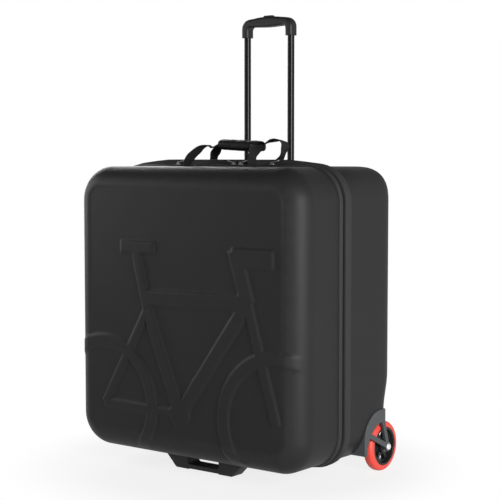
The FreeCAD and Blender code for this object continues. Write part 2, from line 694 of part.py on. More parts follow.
def arm(angle):
    """An arm in the housing's outer face, from the axle boss to its seat in the arch."""
    run = Vector(0, math.cos(math.radians(angle)), math.sin(math.radians(angle)))
    to_axle = Vector(0, axle_y - well_y, axle_z - well_z)
    along = to_axle.dot(run)
    reach = s.well_radius + s.arm_seat
    bar = doc.addObject("Part::Box", "Arm")
    bar.Length = math.sqrt(along ** 2 - to_axle.dot(to_axle) + reach ** 2) - along
    bind(bar, "Width", "arm_thickness")
    bind(bar, "Height", "arm_width")
    turn = Rotation(run, X_AXIS, X_AXIS.cross(run), "XYZ")
    lift = turn.multVec(Z_AXIS) * (bar.Height.Value / 2)
    start = Vector(arm_inside, axle_y, axle_z) - lift
    bar.Placement = Placement(start, turn)
    return bar


def wheel_housing():
    back = axle_y - s.arch_back
    ahead = well_y - s.well_radius - s.arch_band
    low, high = case_bottom + s.arch_lift, well_z + s.well_radius + s.arch_crown
    block = new_body("arch_block")
    block_pad = pad(block, "YZ_Plane", cup_inside, outline([
        (ahead, low, s.arch_foot_radius), (back, low, 0), (back, high, s.housing_rise),
        (ahead, high, s.arch_radius)]), "well_depth + housing_wall")
    round_edges(block, block_pad, "arch_edge_radius", lambda edge: edge.BoundBox.XMin > outer_face - 1e-4
                and edge.BoundBox.YMin < back - overshoot)
    cup = common(well(s.housing_wall, cup_inside), rear_form)
    shell_room = cut(rear_room, well(s.housing_wall, cup_inside))
    shell_side = fuse(cut(block, rear_room), cup)
    opened = cut(shell_side, well(0, cup_inside + s.housing_wall))
    boss = rod("boss_radius", "arm_thickness", (arm_inside, axle_y, axle_z), X_AXIS)
    inner_boss_length = wheel_x - s.hub_width / 2 - s.side_gap - cup_inside
    inner_boss = rod("boss_radius", str(inner_boss_length), (cup_inside, axle_y, axle_z), X_AXIS)
    bolt_hole = rod("axle_radius + axle_clearance", "2 * well_depth",
                    (cup_inside - overshoot, axle_y, axle_z), X_AXIS)
    arms = cut(fuse(arm(s.front_arm_angle), arm(s.rear_arm_angle)), shell_room)
    return cut(fuse(opened, boss, inner_boss, arms), bolt_hole)


def axle_bolt():
    """A shank that is screwed into the inner boss, and a head on the outer arm."""
    shank = rod("axle_radius", "well_depth + housing_wall", (cup_inside, axle_y, axle_z), X_AXIS)
    head = rod("axle_head_radius", "axle_head_height", (outer_face, axle_y, axle_z), X_AXIS)
    return fuse(shank, head)


pair("wheel_housing", wheel_housing())
pair("axle_bolt", axle_bolt())

# Stand foot: two tapered legs joined by a bar, with a finger gap between the bar and the shell
foot_front = -s.foot_ahead_of_seam
foot_half, gap_half = s.foot_width / 2, s.foot_gap_width / 2
foot_low_half = foot_half - s.foot_taper
gap_low, gap_high = s.foot_bar_lift + s.foot_bar, case_bottom - s.foot_plate
foot_body = new_body("foot_block")
bar_half = gap_half - s.foot_bar_slope
foot_outline = outline([
    (-foot_low_half, 0, 0), (-gap_half, 0, 0), (-bar_half, s.foot_bar_lift, 0),
    (bar_half, s.foot_bar_lift, 0), (gap_half, 0, 0), (foot_low_half, 0, 0),
    (foot_half, case_bottom, 0), (-foot_half, case_bottom, 0)])
foot_gap = rectangle(-gap_half, gap_low, gap_half, gap_high, s.foot_gap_radius)
foot_pad = pad(foot_body, "XZ_Plane", s.foot_ahead_of_seam - s.foot_depth,
               foot_outline + foot_gap, "foot_depth")
round_edges(foot_body, foot_pad, "foot_edge_radius", lambda edge: edge.BoundBox.YLength < 1e-4
            and abs(edge.CenterOfMass.x) > gap_half + 1 and edge.BoundBox.ZLength > case_bottom / 2)
foot_screw_x = gap_half + s.foot_screw_inset
foot_spots = [(sign * foot_screw_x, foot_front + s.foot_depth / 2, floor) for sign in (-1, 1)]
foot_screw_length = s.shell_wall + s.foot_screw_bite
foot_holes = [screw_hole(spot, -Z_AXIS, foot_screw_length) for spot in foot_spots]
node("stand_foot", cut(foot_body, *foot_holes))
node("foot_screws", group(*[screw(spot, -Z_AXIS, foot_screw_length) for spot in foot_spots]))

# Shells with their openings
node("front_shell", cut(fuse(front_tub, figure()), *foot_holes))
hole_low = case_top - 2 * s.shell_wall
collar_holes = [rod(f"{collar_outside} + fit_clearance", "3 * shell_wall", (x, trolley_y, hole_low))
                for x in tube_sides.values()]
corner_cut = well(s.housing_wall + s.fit_clearance, cup_inside - s.fit_clearance)
node("rear_shell", cut(rear_tub, *collar_holes, corner_cut, mirrored(corner_cut), *base_holes, *bezel_holes))


# Carry handles: each a webbing loop sewn to an anchor at both ends, leaning over the zip to the other
strap_low = case_top + s.anchor_thickness + s.anchor_gap
strap_pivot = strap_low + s.strap_root_radius
strap_high = case_top + s.strap_top_rise


def strap_loop(name, foot_y, top_y, grow=0):
    """An arched band, narrowed from its foot to its top by the side view that it leans along."""
    root, wide, narrow = s.strap_root_radius, s.strap_width / 2 + grow, s.strap_top_width / 2 + grow
    half_thick = s.strap_thickness / 2 + grow
    reach = s.strap_width + abs(foot_y) + abs(top_y)
    bend = s.strap_bend_radius
    band = new_body(f"{name}_band")
    pad(band, "XZ_Plane", 0, outline([
        (-s.strap_foot_x - half_thick, strap_low, 0), (-s.strap_foot_x + half_thick, strap_low, 0),
        (-s.strap_top_x + half_thick, strap_high - half_thick, bend - half_thick),
        (s.strap_top_x - half_thick, strap_high - half_thick, bend - half_thick),
        (s.strap_foot_x - half_thick, strap_low, 0), (s.strap_foot_x + half_thick, strap_low, 0),
        (s.strap_top_x + half_thick, strap_high + half_thick, bend + half_thick),
        (-s.strap_top_x - half_thick, strap_high + half_thick, bend + half_thick)]),
        str(4 * reach), both=True)
    third = (strap_high - strap_low) / 3
    lean_high = strap_high + s.strap_thickness
    bulge_y = foot_y + (top_y - foot_y) / 3
    lean = new_body(f"{name}_lean")
    pad(lean, "YZ_Plane", 0, outline([
        (foot_y - root, strap_pivot, 0), (foot_y + root, strap_pivot, 0),
        (bulge_y + wide, strap_low + third, s.strap_bulge_radius),
        (top_y + narrow, lean_high, 0), (top_y - narrow, lean_high, 0),
        (bulge_y - wide, strap_low + third, s.strap_bulge_radius)]), "4 * strap_foot_x", both=True)
    root_start = (-2 * s.strap_foot_x, foot_y, strap_pivot)
    rounded_root = rod("strap_root_radius", "4 * strap_foot_x", root_start, X_AXIS)
    return common(band, fuse(lean, rounded_root))


def strap_anchors(foot_y):
    """Sewn patches under the two ends of a loop."""
    patches = []
    for sign in (-1, 1):
        centre = sign * (s.strap_foot_x + s.anchor_length / 4)
        patches.append(box("anchor_length", "anchor_width", "anchor_thickness",
                           (centre - s.anchor_length / 2, foot_y - s.anchor_width / 2, case_top)))
    return group(*patches)


node("front_handle_strap", strap_loop("front_loop", s.front_strap_y, s.front_strap_top_y))
node("rear_handle_strap", strap_loop("rear_loop", s.rear_strap_y, s.rear_strap_top_y))
node("front_handle_anchors", strap_anchors(s.front_strap_y))
node("rear_handle_anchors", strap_anchors(s.rear_strap_y))

# Grip wrap: a padded sleeve round the front loop, open behind and below to take the rear loop
wrap_middle = (s.front_strap_top_y + s.rear_strap_top_y) / 2
wrap_low = strap_high - s.wrap_height / 2
wrap_body = new_body("wrap_block")
pad(wrap_body, "YZ_Plane", 0,
    rectangle(wrap_middle - s.wrap_depth / 2, wrap_low, wrap_middle + s.wrap_depth / 2,
              wrap_low + s.wrap_height, s.wrap_edge_radius), "wrap_length", both=True)
rear_slot = box("2 * wrap_length", "wrap_depth", "wrap_height",
                (-s.wrap_length, wrap_middle, wrap_low - s.wrap_cover))
front_slot = strap_loop("front_slot", s.front_strap_y, s.front_strap_top_y, s.wrap_clearance)
node("grip_wrap", cut(wrap_body, rear_slot, front_slot))

# Zip sliders ride above the teeth; each carries a pull tab on a cross pin between two ears
pull_directions = {"far_left": 1, "left": -1, "right": 1, "far_right": 1}
slider_low = case_top + s.zip_tooth_rise + s.slider_clearance
pin_height = slider_low + s.slider_height + s.ear_height / 2
ear_gap = s.slider_width / 2 - 1.2 * s.ear_thickness


def zip_slider(x):
    plate = new_body("slider_plate")
    half_length, half_width = s.slider_length / 2, s.slider_width / 2
    pad(plate, "XY_Plane", slider_low,
        rectangle(x - half_length, -half_width, x + half_length, half_width, s.slider_corner_radius),
        "slider_height")
    ears = []
    for low in (-ear_gap - s.ear_thickness, ear_gap):
        ears.append(box("ear_height", "ear_thickness", "ear_height",
                        (x - s.ear_height / 2, low, slider_low + s.slider_height)))
    hole_start = (x, -s.slider_width, pin_height)
    hole = rod("pull_pin_radius + pin_clearance", "2 * slider_width", hole_start, Y_AXIS)
    return cut(fuse(plate, *ears), hole)


def zip_pull(x, direction):
    """A flat tab that tapers out of a knuckle, tilted up from the zip."""
    tab = new_body("pull_tab")
    neck, wide = ear_gap - s.fit_clearance, s.pull_width / 2
    shoulder = s.ear_height + s.pull_taper
    corners = [(0, -neck, 0), (s.ear_height, -neck, 0), (shoulder, -wide, 0),
               (s.pull_length, -wide, s.pull_corner_radius), (s.pull_length, wide, s.pull_corner_radius),
               (shoulder, wide, 0), (s.ear_height, neck, 0), (0, neck, 0)]
    pad(tab, "XY_Plane", -s.pull_thickness / 2, outline(corners), "pull_thickness")
    hole_spot = (s.pull_length - s.pull_hole_inset, 0, -s.pull_thickness)
    holed = cut(tab, rod("pull_width / 4", "2 * pull_thickness", hole_spot))
    knuckle = rod("pull_thickness", str(2 * neck), (0, -neck, 0), Y_AXIS)
    pin_reach = ear_gap + s.ear_thickness
    pin = rod("pull_pin_radius", str(2 * pin_reach), (0, -pin_reach, 0), Y_AXIS)
    piece = fuse(holed, knuckle, pin)
    turn = Rotation(Y_AXIS, -s.pull_tilt) if direction > 0 else Rotation(Y_AXIS, 180 + s.pull_tilt)
    piece.Placement = Placement(Vector(x, 0, pin_height), turn)
    return group(piece)


for name, direction in pull_directions.items():
    slider_x = getattr(s, f"{name}_slider_x")
    node(f"zip_slider_{name}", zip_slider(slider_x))
    node(f"zip_pull_{name}", zip_pull(slider_x, direction))

# Hold-down straps on the back wall inside the tub, each with a side-release buckle
wall_inside = s.rear_depth - s.shell_wall
strap_base = s.heel_high + s.inner_strap_rise
buckle_base = strap_base + (s.inner_strap_length - s.buckle_length) / 2
bands, buckles = [], []
for sign in (-1, 1):
    middle = sign * s.inner_strap_x
    bands.append(box("inner_strap_width", "inner_strap_thickness", "inner_strap_length",
                     (middle - s.inner_strap_width / 2, wall_inside - s.inner_strap_thickness, strap_base)))
    buckle = new_body("buckle_block")
    front = wall_inside - s.inner_strap_thickness - s.buckle_thickness
    buckle_pad = pad(buckle, "XZ_Plane", -wall_inside + s.inner_strap_thickness,
                     rectangle(middle - s.buckle_width / 2, buckle_base, middle + s.buckle_width / 2,
                               buckle_base + s.buckle_length, s.buckle_corner_radius), "buckle_thickness")
    round_edges(buckle, buckle_pad, "buckle_thickness / 3", lies_at("y", front))
    buckles.append(buckle)
node("hold_down_straps", group(*bands))
node("strap_buckles", group(*buckles))

# Every object has to be whole before anything is written
doc.recompute()
for thing in doc.Objects:
    if "Invalid" in thing.State or "Error" in thing.State:
        raise RuntimeError(f"{thing.Name} ({thing.Label}) did not build: {thing.State}")
for label, thing in nodes.items():
    shape = thing.Shape
    if shape.isNull() or not shape.isValid() or not shape.Solids:
        raise RuntimeError(f"{label} has no valid solid")

os.makedirs("parts", exist_ok=True)
for label, thing in nodes.items():
    thing.Shape.exportStep(f"parts/{label}.step")
    print(label, len(thing.Shape.Solids), round(thing.Shape.Volume), len(thing.Shape.Faces))
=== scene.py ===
import math

import bmesh
import bpy
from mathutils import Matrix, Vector, noise as ripples
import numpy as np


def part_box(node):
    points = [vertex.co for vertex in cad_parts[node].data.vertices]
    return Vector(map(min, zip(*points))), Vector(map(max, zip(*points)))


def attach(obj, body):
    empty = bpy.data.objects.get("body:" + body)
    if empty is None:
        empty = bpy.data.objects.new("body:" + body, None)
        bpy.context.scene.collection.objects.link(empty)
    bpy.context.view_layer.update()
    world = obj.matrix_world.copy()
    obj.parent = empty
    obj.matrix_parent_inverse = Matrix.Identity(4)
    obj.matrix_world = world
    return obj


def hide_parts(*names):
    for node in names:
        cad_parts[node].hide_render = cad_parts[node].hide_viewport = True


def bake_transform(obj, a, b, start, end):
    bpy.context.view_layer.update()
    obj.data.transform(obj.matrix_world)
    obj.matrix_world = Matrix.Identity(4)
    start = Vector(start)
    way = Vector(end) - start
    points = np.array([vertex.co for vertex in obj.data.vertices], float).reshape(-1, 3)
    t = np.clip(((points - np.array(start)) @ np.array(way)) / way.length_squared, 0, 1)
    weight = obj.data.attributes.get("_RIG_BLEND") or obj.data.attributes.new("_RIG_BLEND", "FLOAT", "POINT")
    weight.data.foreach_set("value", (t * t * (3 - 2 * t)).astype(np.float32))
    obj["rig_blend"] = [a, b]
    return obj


# A hard travel case for a folded bicycle, dressed in the order in which it is put together.
# All lengths are in metres, in the part's own frame: +X along the front face, +Y to the back.
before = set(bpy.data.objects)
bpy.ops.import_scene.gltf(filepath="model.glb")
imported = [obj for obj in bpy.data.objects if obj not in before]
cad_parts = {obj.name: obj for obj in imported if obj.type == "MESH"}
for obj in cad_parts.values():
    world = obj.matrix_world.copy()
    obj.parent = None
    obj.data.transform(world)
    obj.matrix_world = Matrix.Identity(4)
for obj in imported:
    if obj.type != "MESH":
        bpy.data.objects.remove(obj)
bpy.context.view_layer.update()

# Rear shell: the deep tub, pressed in one piece from foam sheet that is faced with black woven
# polyester outside and brushed lining inside. Its back steps forward above the wheels, and its
# lower corners are cut out for the wheel housings.
CORNER = 0.075
ROLL, CREASE = 0.040, math.radians(12)
RUN_OUT = math.radians(48)
WALL = 0.005
SEAM_LIP = 0.0022
HEEL_LOW, HEEL_HIGH, HEEL_STEP = 0.138, 0.218, 0.016
REAR_CELLS, REAR_ROLL_STEPS, SIDE_RINGS = 96, 10, 5
RUB_WIDTH, SINK_EDGE = 0.016, 0.009
WELL_RADIUS, WELL_FORWARD, WELL_DROP = 0.0702, 0.019, 0.007
WELL_BACK_RADIUS, WELL_INSIDE = 0.0652, 0.2648
COLLAR_RADIUS = 0.0128
FABRIC_PITCH, FIBRE_SIZE, CLOUD_SIZE, RUB_PATCH = 0.0011, 0.0004, 0.09, 0.02
FIBRE_SHARE, CLOUD_SHARE, RUB_MOST = 0.35, 0.4, 0.5
FABRIC_ROUGH, FABRIC_SMOOTHEST, FABRIC_ROUGHEST = 0.45, 0.38, 0.50
FABRIC_SPECULAR, YARN_DEPTH, BUMP_STRENGTH = 0.14, 0.00012, 0.6
WAVE_BANDS, NOISE_DETAIL = 20 / math.tau, 3
UPPER_CORNERS, CORNER_FADE = 0.085, 0.05
FABRIC_DARK, FABRIC_LIGHT, FABRIC_WORN = (0.014, 0.014, 0.015), (0.026, 0.026, 0.027), (0.046, 0.046, 0.048)
LINING_DARK, LINING_LIGHT, LINING_WORN = (0.040, 0.041, 0.045), (0.066, 0.067, 0.073), (0.080, 0.080, 0.086)

rear_low, rear_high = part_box("rear_shell")
seam_y = rear_low.y - SEAM_LIP
core_x = rear_high.x - CORNER
core_low, core_high = rear_low.z + CORNER, rear_high.z - CORNER


def eased(share):
    """A smooth step from 0 to 1."""
    share = max(0.0, min(1.0, share))
    return share * share * (3 - 2 * share)


def core_point(point):
    """The nearest point of the rectangle that the case's corner arcs are drawn about."""
    return Vector((max(-core_x, min(core_x, point.x)), point.y, max(core_low, min(core_high, point.z))))


def new_piece(name, add, **settings):
    """Add a primitive with nothing else selected, and open it for editing under its own name."""
    bpy.ops.object.select_all(action="DESELECT")
    add(**settings)
    piece = bpy.context.object
    piece.name = name
    piece.data.name = name
    bpy.ops.object.transform_apply()
    bpy.ops.object.mode_set(mode="EDIT")
    return piece


def apply_modifier(piece, kind, **settings):
    """Add a modifier to a closed piece and apply it at once."""
    modifier = piece.modifiers.new(kind.title(), kind)
    for key, value in settings.items():
        setattr(modifier, key, value)
    bpy.context.view_layer.objects.active = piece
    bpy.ops.object.modifier_apply(modifier=modifier.name)


def cut_away(piece, cutter):
    """Take the shape of a cutter out of a piece, and drop the cutter."""
    apply_modifier(piece, "BOOLEAN", operation="DIFFERENCE", object=cutter)
    bpy.data.objects.remove(cutter)


def drill(piece, radius, depth, place, rotation=(0, 0, 0), sides=96):
    """Cut a round or many-sided hole into a piece."""
    bpy.ops.object.select_all(action="DESELECT")
    bpy.ops.mesh.primitive_cylinder_add(vertices=sides, radius=radius, depth=depth,
                                        location=place, rotation=rotation)
    cut_away(piece, bpy.context.object)


def set_piece(piece, body, slot, *materials, replaces=(), angle=40):
    """Leave edit mode, smooth the piece, give it its materials and let it ride on its body."""
    if bpy.context.mode != "OBJECT":
        bpy.ops.object.mode_set(mode="OBJECT")
    bpy.ops.object.select_all(action="DESELECT")
    piece.select_set(True)
    bpy.context.view_layer.objects.active = piece
    bpy.ops.object.shade_smooth_by_angle(angle=math.radians(angle))
    for material in materials:
        piece.data.materials.append(material)
    if body:
        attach(piece, body)
    if replaces:
        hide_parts(*replaces)
    return piece


def press_shell(name, far_y, lip_y, cells, roll_steps, sink=0.0, raised=None, squarer=0.0):
    """A tub pressed over a mould: a gridded far face, a rolled edge, and sides down to the seam."""
    outward = 1 if far_y > lip_y else -1

    def fullness(out, y):
        """How many times as far out as a round arc the tub stands, more than once in its upper corners."""
        share = eased((y - lip_y) * outward / CORNER_FADE)
        return 1 + squarer * share * (2 * out.x * max(0.0, out.z)) ** 2

    flat_radius = CORNER - ROLL
    roll_radius = ROLL / (1 - math.sin(CREASE))
    middle_z = (core_low + core_high) / 2
    half_x, half_z = core_x + flat_radius, (core_high - core_low) / 2 + flat_radius
    piece = new_piece(name, bpy.ops.mesh.primitive_grid_add, x_subdivisions=cells, y_subdivisions=cells,
                      size=2, rotation=(math.pi / 2, 0, 0))
    mesh = bmesh.from_edit_mesh(piece.data)
    rub = mesh.verts.layers.float.new("rub")
    for vert in mesh.verts:
        place = Vector((vert.co.x * half_x, far_y, middle_z + vert.co.z * half_z))
        core = core_point(place)
        out = place - core
        reach = max(abs(out.x), abs(out.z))
        if reach:
            out.normalize()
            place = core + out * reach * fullness(out, far_y)
        border = flat_radius - reach
        height = raised(place) if raised else 0.0
        place.y += outward * (height - sink * eased(border / SINK_EDGE))
        vert.co = place
        vert[rub] = 1 - eased(border / RUB_WIDTH)
    bmesh.update_edit_mesh(piece.data)
    rings = []
    for step in range(1, roll_steps + 1):
        turn = CREASE + (math.pi / 2 - CREASE) * step / roll_steps
        rings.append((flat_radius + roll_radius * (math.sin(turn) - math.sin(CREASE)),
                      far_y - outward * roll_radius * (math.cos(CREASE) - math.cos(turn)), turn))
    side_start = rings[-1][1]
    for step in range(1, SIDE_RINGS + 1):
        rings.append((CORNER, side_start + (lip_y - side_start) * step / SIDE_RINGS, math.pi / 2))
    bpy.ops.mesh.select_all(action="SELECT")
    bpy.ops.mesh.region_to_loop()
    for radius, y, turn in rings:
        bpy.ops.mesh.extrude_edges_move()
        mesh = bmesh.from_edit_mesh(piece.data)
        rub = mesh.verts.layers.float["rub"]
        shown = 1 - eased((turn - CREASE) / RUN_OUT)
        for vert in mesh.verts:
            if vert.select:
                core = core_point(vert.co)
                out = (vert.co - core).normalized()
                place = core + out * radius * fullness(out, y)
                place.y = y
                if raised and shown:
                    lift = out * math.sin(turn) + Vector((0, outward * math.cos(turn), 0))
                    place += lift * raised(place) * shown
                vert.co = place
                vert[rub] = shown
        bmesh.update_edit_mesh(piece.data)
    bpy.ops.mesh.select_all(action="SELECT")
    bpy.ops.mesh.normals_make_consistent(inside=False)
    bpy.ops.uv.cube_project(cube_size=1)
    return piece


def new_finish(name, colour, roughness, **sockets):
    """A material whose surface sockets are set by name."""
    material = bpy.data.materials.new(name)
    material.use_nodes = True
    surface = material.node_tree.nodes["Principled BSDF"]
    surface.inputs["Base Color"].default_value = (*colour, 1)
    surface.inputs["Roughness"].default_value = roughness
    for socket, value in sockets.items():
        surface.inputs[socket.replace("_", " ")].default_value = value
    return material


def add_node(material, kind, inputs, **settings):
    """A shader node with its settings, and with its inputs linked to sockets or set to values."""
    node = material.node_tree.nodes.new(kind)
    for key, value in settings.items():
        setattr(node, key, value)
    for socket, source in inputs.items():
        if isinstance(source, bpy.types.NodeSocket):
            material.node_tree.links.new(source, node.inputs[socket])
        else:
            node.inputs[socket].default_value = source
    return node


def tinted(material, share, low, high):
    """A colour between two others, by a share from 0 to 1; the first may come from other nodes."""
    first = low if isinstance(low, bpy.types.NodeSocket) else (*low, 1)
    mix = add_node(material, "ShaderNodeMix", {0: share, 6: first, 7: (*high, 1)}, data_type="RGBA")
    return mix.outputs[2]


def ranged(material, value, low, high):
    """A number between two others, by a value from 0 to 1."""
    node = add_node(material, "ShaderNodeMapRange", {"Value": value, "To Min": low, "To Max": high})
    return node.outputs["Result"]


def averaged(material, first, second, share):
    """A mix of two numbers."""
    mix = add_node(material, "ShaderNodeMix", {0: share, 2: first, 3: second}, data_type="FLOAT")
    return mix.outputs[0]


def multiplied(material, first, second):
    """The product of two numbers."""
    return add_node(material, "ShaderNodeMath", {0: first, 1: second}, operation="MULTIPLY").outputs[0]


def noise(material, place, size):
    """Soft irregularity whose grains are about one size across."""
    return add_node(material, "ShaderNodeTexNoise",
                    {"Vector": place, "Scale": 1 / size, "Detail": NOISE_DETAIL}).outputs["Fac"]


def wire(material, colour=None, roughness=None, height=None, depth=0.0):
    """Lead a colour, a roughness and a bump height to the surface."""
    surface = material.node_tree.nodes["Principled BSDF"]
    if colour:
        material.node_tree.links.new(colour, surface.inputs["Base Color"])
    if roughness:
        material.node_tree.links.new(roughness, surface.inputs["Roughness"])
    if height:
        bump = add_node(material, "ShaderNodeBump",
                        {"Height": height, "Strength": BUMP_STRENGTH, "Distance": depth})
        material.node_tree.links.new(bump.outputs["Normal"], surface.inputs["Normal"])


def threads(material, place, pitch):
    """The height of over-and-under threads of one pitch, from 0 to 1."""
    wave_scale = 1 / WAVE_BANDS / pitch
    warp = add_node(material, "ShaderNodeTexWave", {"Vector": place, "Scale": wave_scale},
                    bands_direction="X")
    weft = add_node(material, "ShaderNodeTexWave", {"Vector": place, "Scale": wave_scale},
                    bands_direction="Y")
    over = add_node(material, "ShaderNodeTexChecker", {"Vector": place, "Scale": 1 / pitch})
    return averaged(material, warp.outputs["Fac"], weft.outputs["Fac"], over.outputs["Fac"])


def shell_fabric(name, dark, light, worn, pitch):
    """Woven facing cloth drawn tight over foam, uneven in colour and gloss, rubbed pale along its edges."""
    material = new_finish(name, light, FABRIC_ROUGH, Specular_IOR_Level=FABRIC_SPECULAR)
    place = add_node(material, "ShaderNodeTexCoord", {}).outputs["UV"]
    weave = threads(material, place, pitch)
    fibre = noise(material, place, FIBRE_SIZE)
    cloud = noise(material, place, CLOUD_SIZE)
    yarn = averaged(material, weave, fibre, FIBRE_SHARE)
    plain = tinted(material, averaged(material, yarn, cloud, CLOUD_SHARE), dark, light)
    rubbed = add_node(material, "ShaderNodeAttribute", {}, attribute_name="rub").outputs["Fac"]
    patches = ranged(material, noise(material, place, RUB_PATCH), 0.0, RUB_MOST)
    wire(material, tinted(material, multiplied(material, rubbed, patches), plain, worn),
         ranged(material, cloud, FABRIC_SMOOTHEST, FABRIC_ROUGHEST), yarn, YARN_DEPTH)
    return material


facing = shell_fabric("shell_facing", FABRIC_DARK, FABRIC_LIGHT, FABRIC_WORN, FABRIC_PITCH)
lining = shell_fabric("shell_lining", LINING_DARK, LINING_LIGHT, LINING_WORN, FABRIC_PITCH / 2)

rear_shell = press_shell("rear_shell_skin", rear_high.y, rear_low.y, REAR_CELLS, REAR_ROLL_STEPS,
                         squarer=UPPER_CORNERS)
mesh = bmesh.from_edit_mesh(rear_shell.data)
rear_depth = rear_high.y - seam_y
for vert in mesh.verts:
    heel = eased((HEEL_HIGH - vert.co.z) / (HEEL_HIGH - HEEL_LOW))
    vert.co.y -= (vert.co.y - seam_y) * heel * HEEL_STEP / rear_depth
bmesh.update_edit_mesh(rear_shell.data)
bpy.ops.object.mode_set(mode="OBJECT")
apply_modifier(rear_shell, "SOLIDIFY", thickness=WALL, offset=-1, use_even_offset=True, material_offset=1)

axle_low, axle_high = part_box("axle_bolt_right")
axle_y, axle_z = (axle_low.y + axle_high.y) / 2, (axle_low.z + axle_high.z) / 2
well_depth = 2 * (rear_high.x - WELL_INSIDE)
along_x = (0, math.pi / 2, 0)
for sign in (-1, 1):
    well_x = sign * rear_high.x
    drill(rear_shell, WELL_RADIUS, well_depth, (well_x, axle_y - WELL_FORWARD, axle_z - WELL_DROP), along_x)
    drill(rear_shell, WELL_BACK_RADIUS, well_depth, (well_x, axle_y, axle_z), along_x)
for name in ("guide_tube_left", "guide_tube_right"):
    guide_low, guide_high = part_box(name)
    guide_x, guide_y = (guide_low.x + guide_high.x) / 2, (guide_low.y + guide_high.y) / 2
    drill(rear_shell, COLLAR_RADIUS, 4 * WALL, (guide_x, guide_y, rear_high.z))
set_piece(rear_shell, "case", "shell_fabric", facing, lining, replaces=["rear_shell"])

# Front shell: the shallower lid, pressed from the same faced foam. The mould embosses a bicycle on its
# face, whose wheels run out over the rolled edge; the cloth rounds off every raised edge.
FRONT_CELLS, FRONT_ROLL_STEPS = 184, 12
FACE_RELIEF, PANEL_SINK = 0.0035, 0.0012
RELIEF_EDGE = 0.0066
REAR_HUB, FRONT_HUB = Vector((-0.223, 0, 0.143)), Vector((0.255, 0, 0.143))
CRANK = Vector((-0.004, 0, 0.139))
RIM_OUTSIDE, RIM_INSIDE, CRANK_RADIUS = 0.153, 0.125, 0.028
SADDLE_BACK, SADDLE_NOSE = Vector((-0.173, 0, 0.494)), Vector((-0.075, 0, 0.494))
POST_TOP, SEAT_LUG = Vector((-0.130, 0, 0.494)), Vector((-0.096, 0, 0.360))
TOP_TUBE_BACK, HEAD_LUG = Vector((-0.100, 0, 0.3845)), Vector((0.180, 0, 0.390))
BARS_BACK, BARS_FRONT = Vector((0.140, 0, 0.483)), Vector((0.246, 0, 0.483))
STEM_TOP = Vector((0.146, 0, 0.500))
PEDAL_END = Vector((0.042, 0, 0.213))
FIGURE_BARS = [
    (SADDLE_BACK, SADDLE_NOSE, 0.026), (POST_TOP, SEAT_LUG, 0.024), (SEAT_LUG, CRANK, 0.030),
    (TOP_TUBE_BACK, HEAD_LUG, 0.034), (HEAD_LUG, CRANK, 0.030), (STEM_TOP, HEAD_LUG, 0.034),
    (BARS_BACK, BARS_FRONT, 0.040), (HEAD_LUG, FRONT_HUB, 0.022), (SEAT_LUG, REAR_HUB, 0.018),
    (CRANK, REAR_HUB, 0.018), (CRANK, PEDAL_END, 0.020)]

front_low, front_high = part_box("front_shell")
front_face_y = front_low.y + FACE_RELIEF


def bar_inset(spot, start, end, width):
    """How far a spot lies inside a square-ended bar; less than nothing outside it."""
    run = end - start
    ahead = run.normalized()
    along = (spot - start).dot(ahead)
    aside = abs((spot - start).cross(ahead).y)
    return min(width / 2 - aside, along, run.length - along)


def raised_bicycle(place):
    """The height of the embossed bicycle at a place on the front face."""
    spot = Vector((place.x, 0, place.z))
    inset = max(bar_inset(spot, *bar) for bar in FIGURE_BARS)
    inset = max(inset, CRANK_RADIUS - (spot - CRANK).length)
    for hub in (REAR_HUB, FRONT_HUB):
        reach = (spot - hub).length
        inset = max(inset, min(RIM_OUTSIDE - reach, reach - RIM_INSIDE))
    return (FACE_RELIEF + PANEL_SINK) * eased(0.5 + inset / RELIEF_EDGE)


front_shell = press_shell("front_shell_skin", front_face_y, front_high.y, FRONT_CELLS, FRONT_ROLL_STEPS,
                          PANEL_SINK, raised_bicycle)
bpy.ops.object.mode_set(mode="OBJECT")
apply_modifier(front_shell, "SOLIDIFY", thickness=WALL, offset=-1, use_even_offset=False, material_offset=1)
set_piece(front_shell, "lid", "shell_fabric", facing, lining, replaces=["front_shell"])

# Bound edges: the raw edges of both shells are sewn into folded tape with a piping along its edges.
# The tapes run from one end of the hinge round the sides and the top to the other, and the rear one
# stands up in a soft roll over the middle of the top.
CASE_STEPS, STRAIGHT_STEPS = 12, 14
# The sections of the tapes, in millimetres behind the seam and outwards.
REAR_BINDING = [(4.2, 0), (4.2, 5), (5.5, 6.6), (7.5, 7), (9, 6.2), (10, 6), (11.5, 6.6), (15, 6.8),
                (19, 6.6), (20.4, 6), (21.6, 6.4), (23.5, 6), (25.2, 4), (25.2, 0)]
FRONT_BINDING = [(-4.2, 0), (-4.2, 3), (-5.2, 3.9), (-6.8, 4), (-8.2, 3.2), (-9.5, 3.2), (-11, 3.6),
                 (-13, 3), (-14.2, 1.2), (-14.2, 0)]
RIM_CROWN, RIM_REACH, RIM_RUN = 1.15, 0.023, 0.10
BINDING_DARK, BINDING_LIGHT = (0.020, 0.020, 0.021), (0.042, 0.042, 0.044)
STITCH_LENGTH, STITCH_WIDTH, STITCH_PITCH = 0.0028, 0.0007, 0.0042
REAR_ROWS, FRONT_ROWS = ((0.0095, 0.0061), (0.0205, 0.0061)), ((-0.0089, 0.0032),)
THREAD_DARK, THREAD_LIGHT = (0.030, 0.030, 0.032), (0.062, 0.062, 0.065)
THREAD_ROUGH, THREAD_TWIST, TWIST_DEPTH = 0.6, 0.0005, 0.0002
TAPE_PITCH, TAPE_FIBRE, TAPE_CLOUD, TAPE_SHARE = 0.0009, 0.0005, 0.03, 0.3
TAPE_ROUGH, TAPE_SMOOTHEST, TAPE_ROUGHEST, TAPE_SPECULAR = 0.6, 0.48, 0.68, 0.2
X_AXIS, Y_AXIS, Z_AXIS = Vector((1, 0, 0)), Vector((0, 1, 0)), Vector((0, 0, 1))

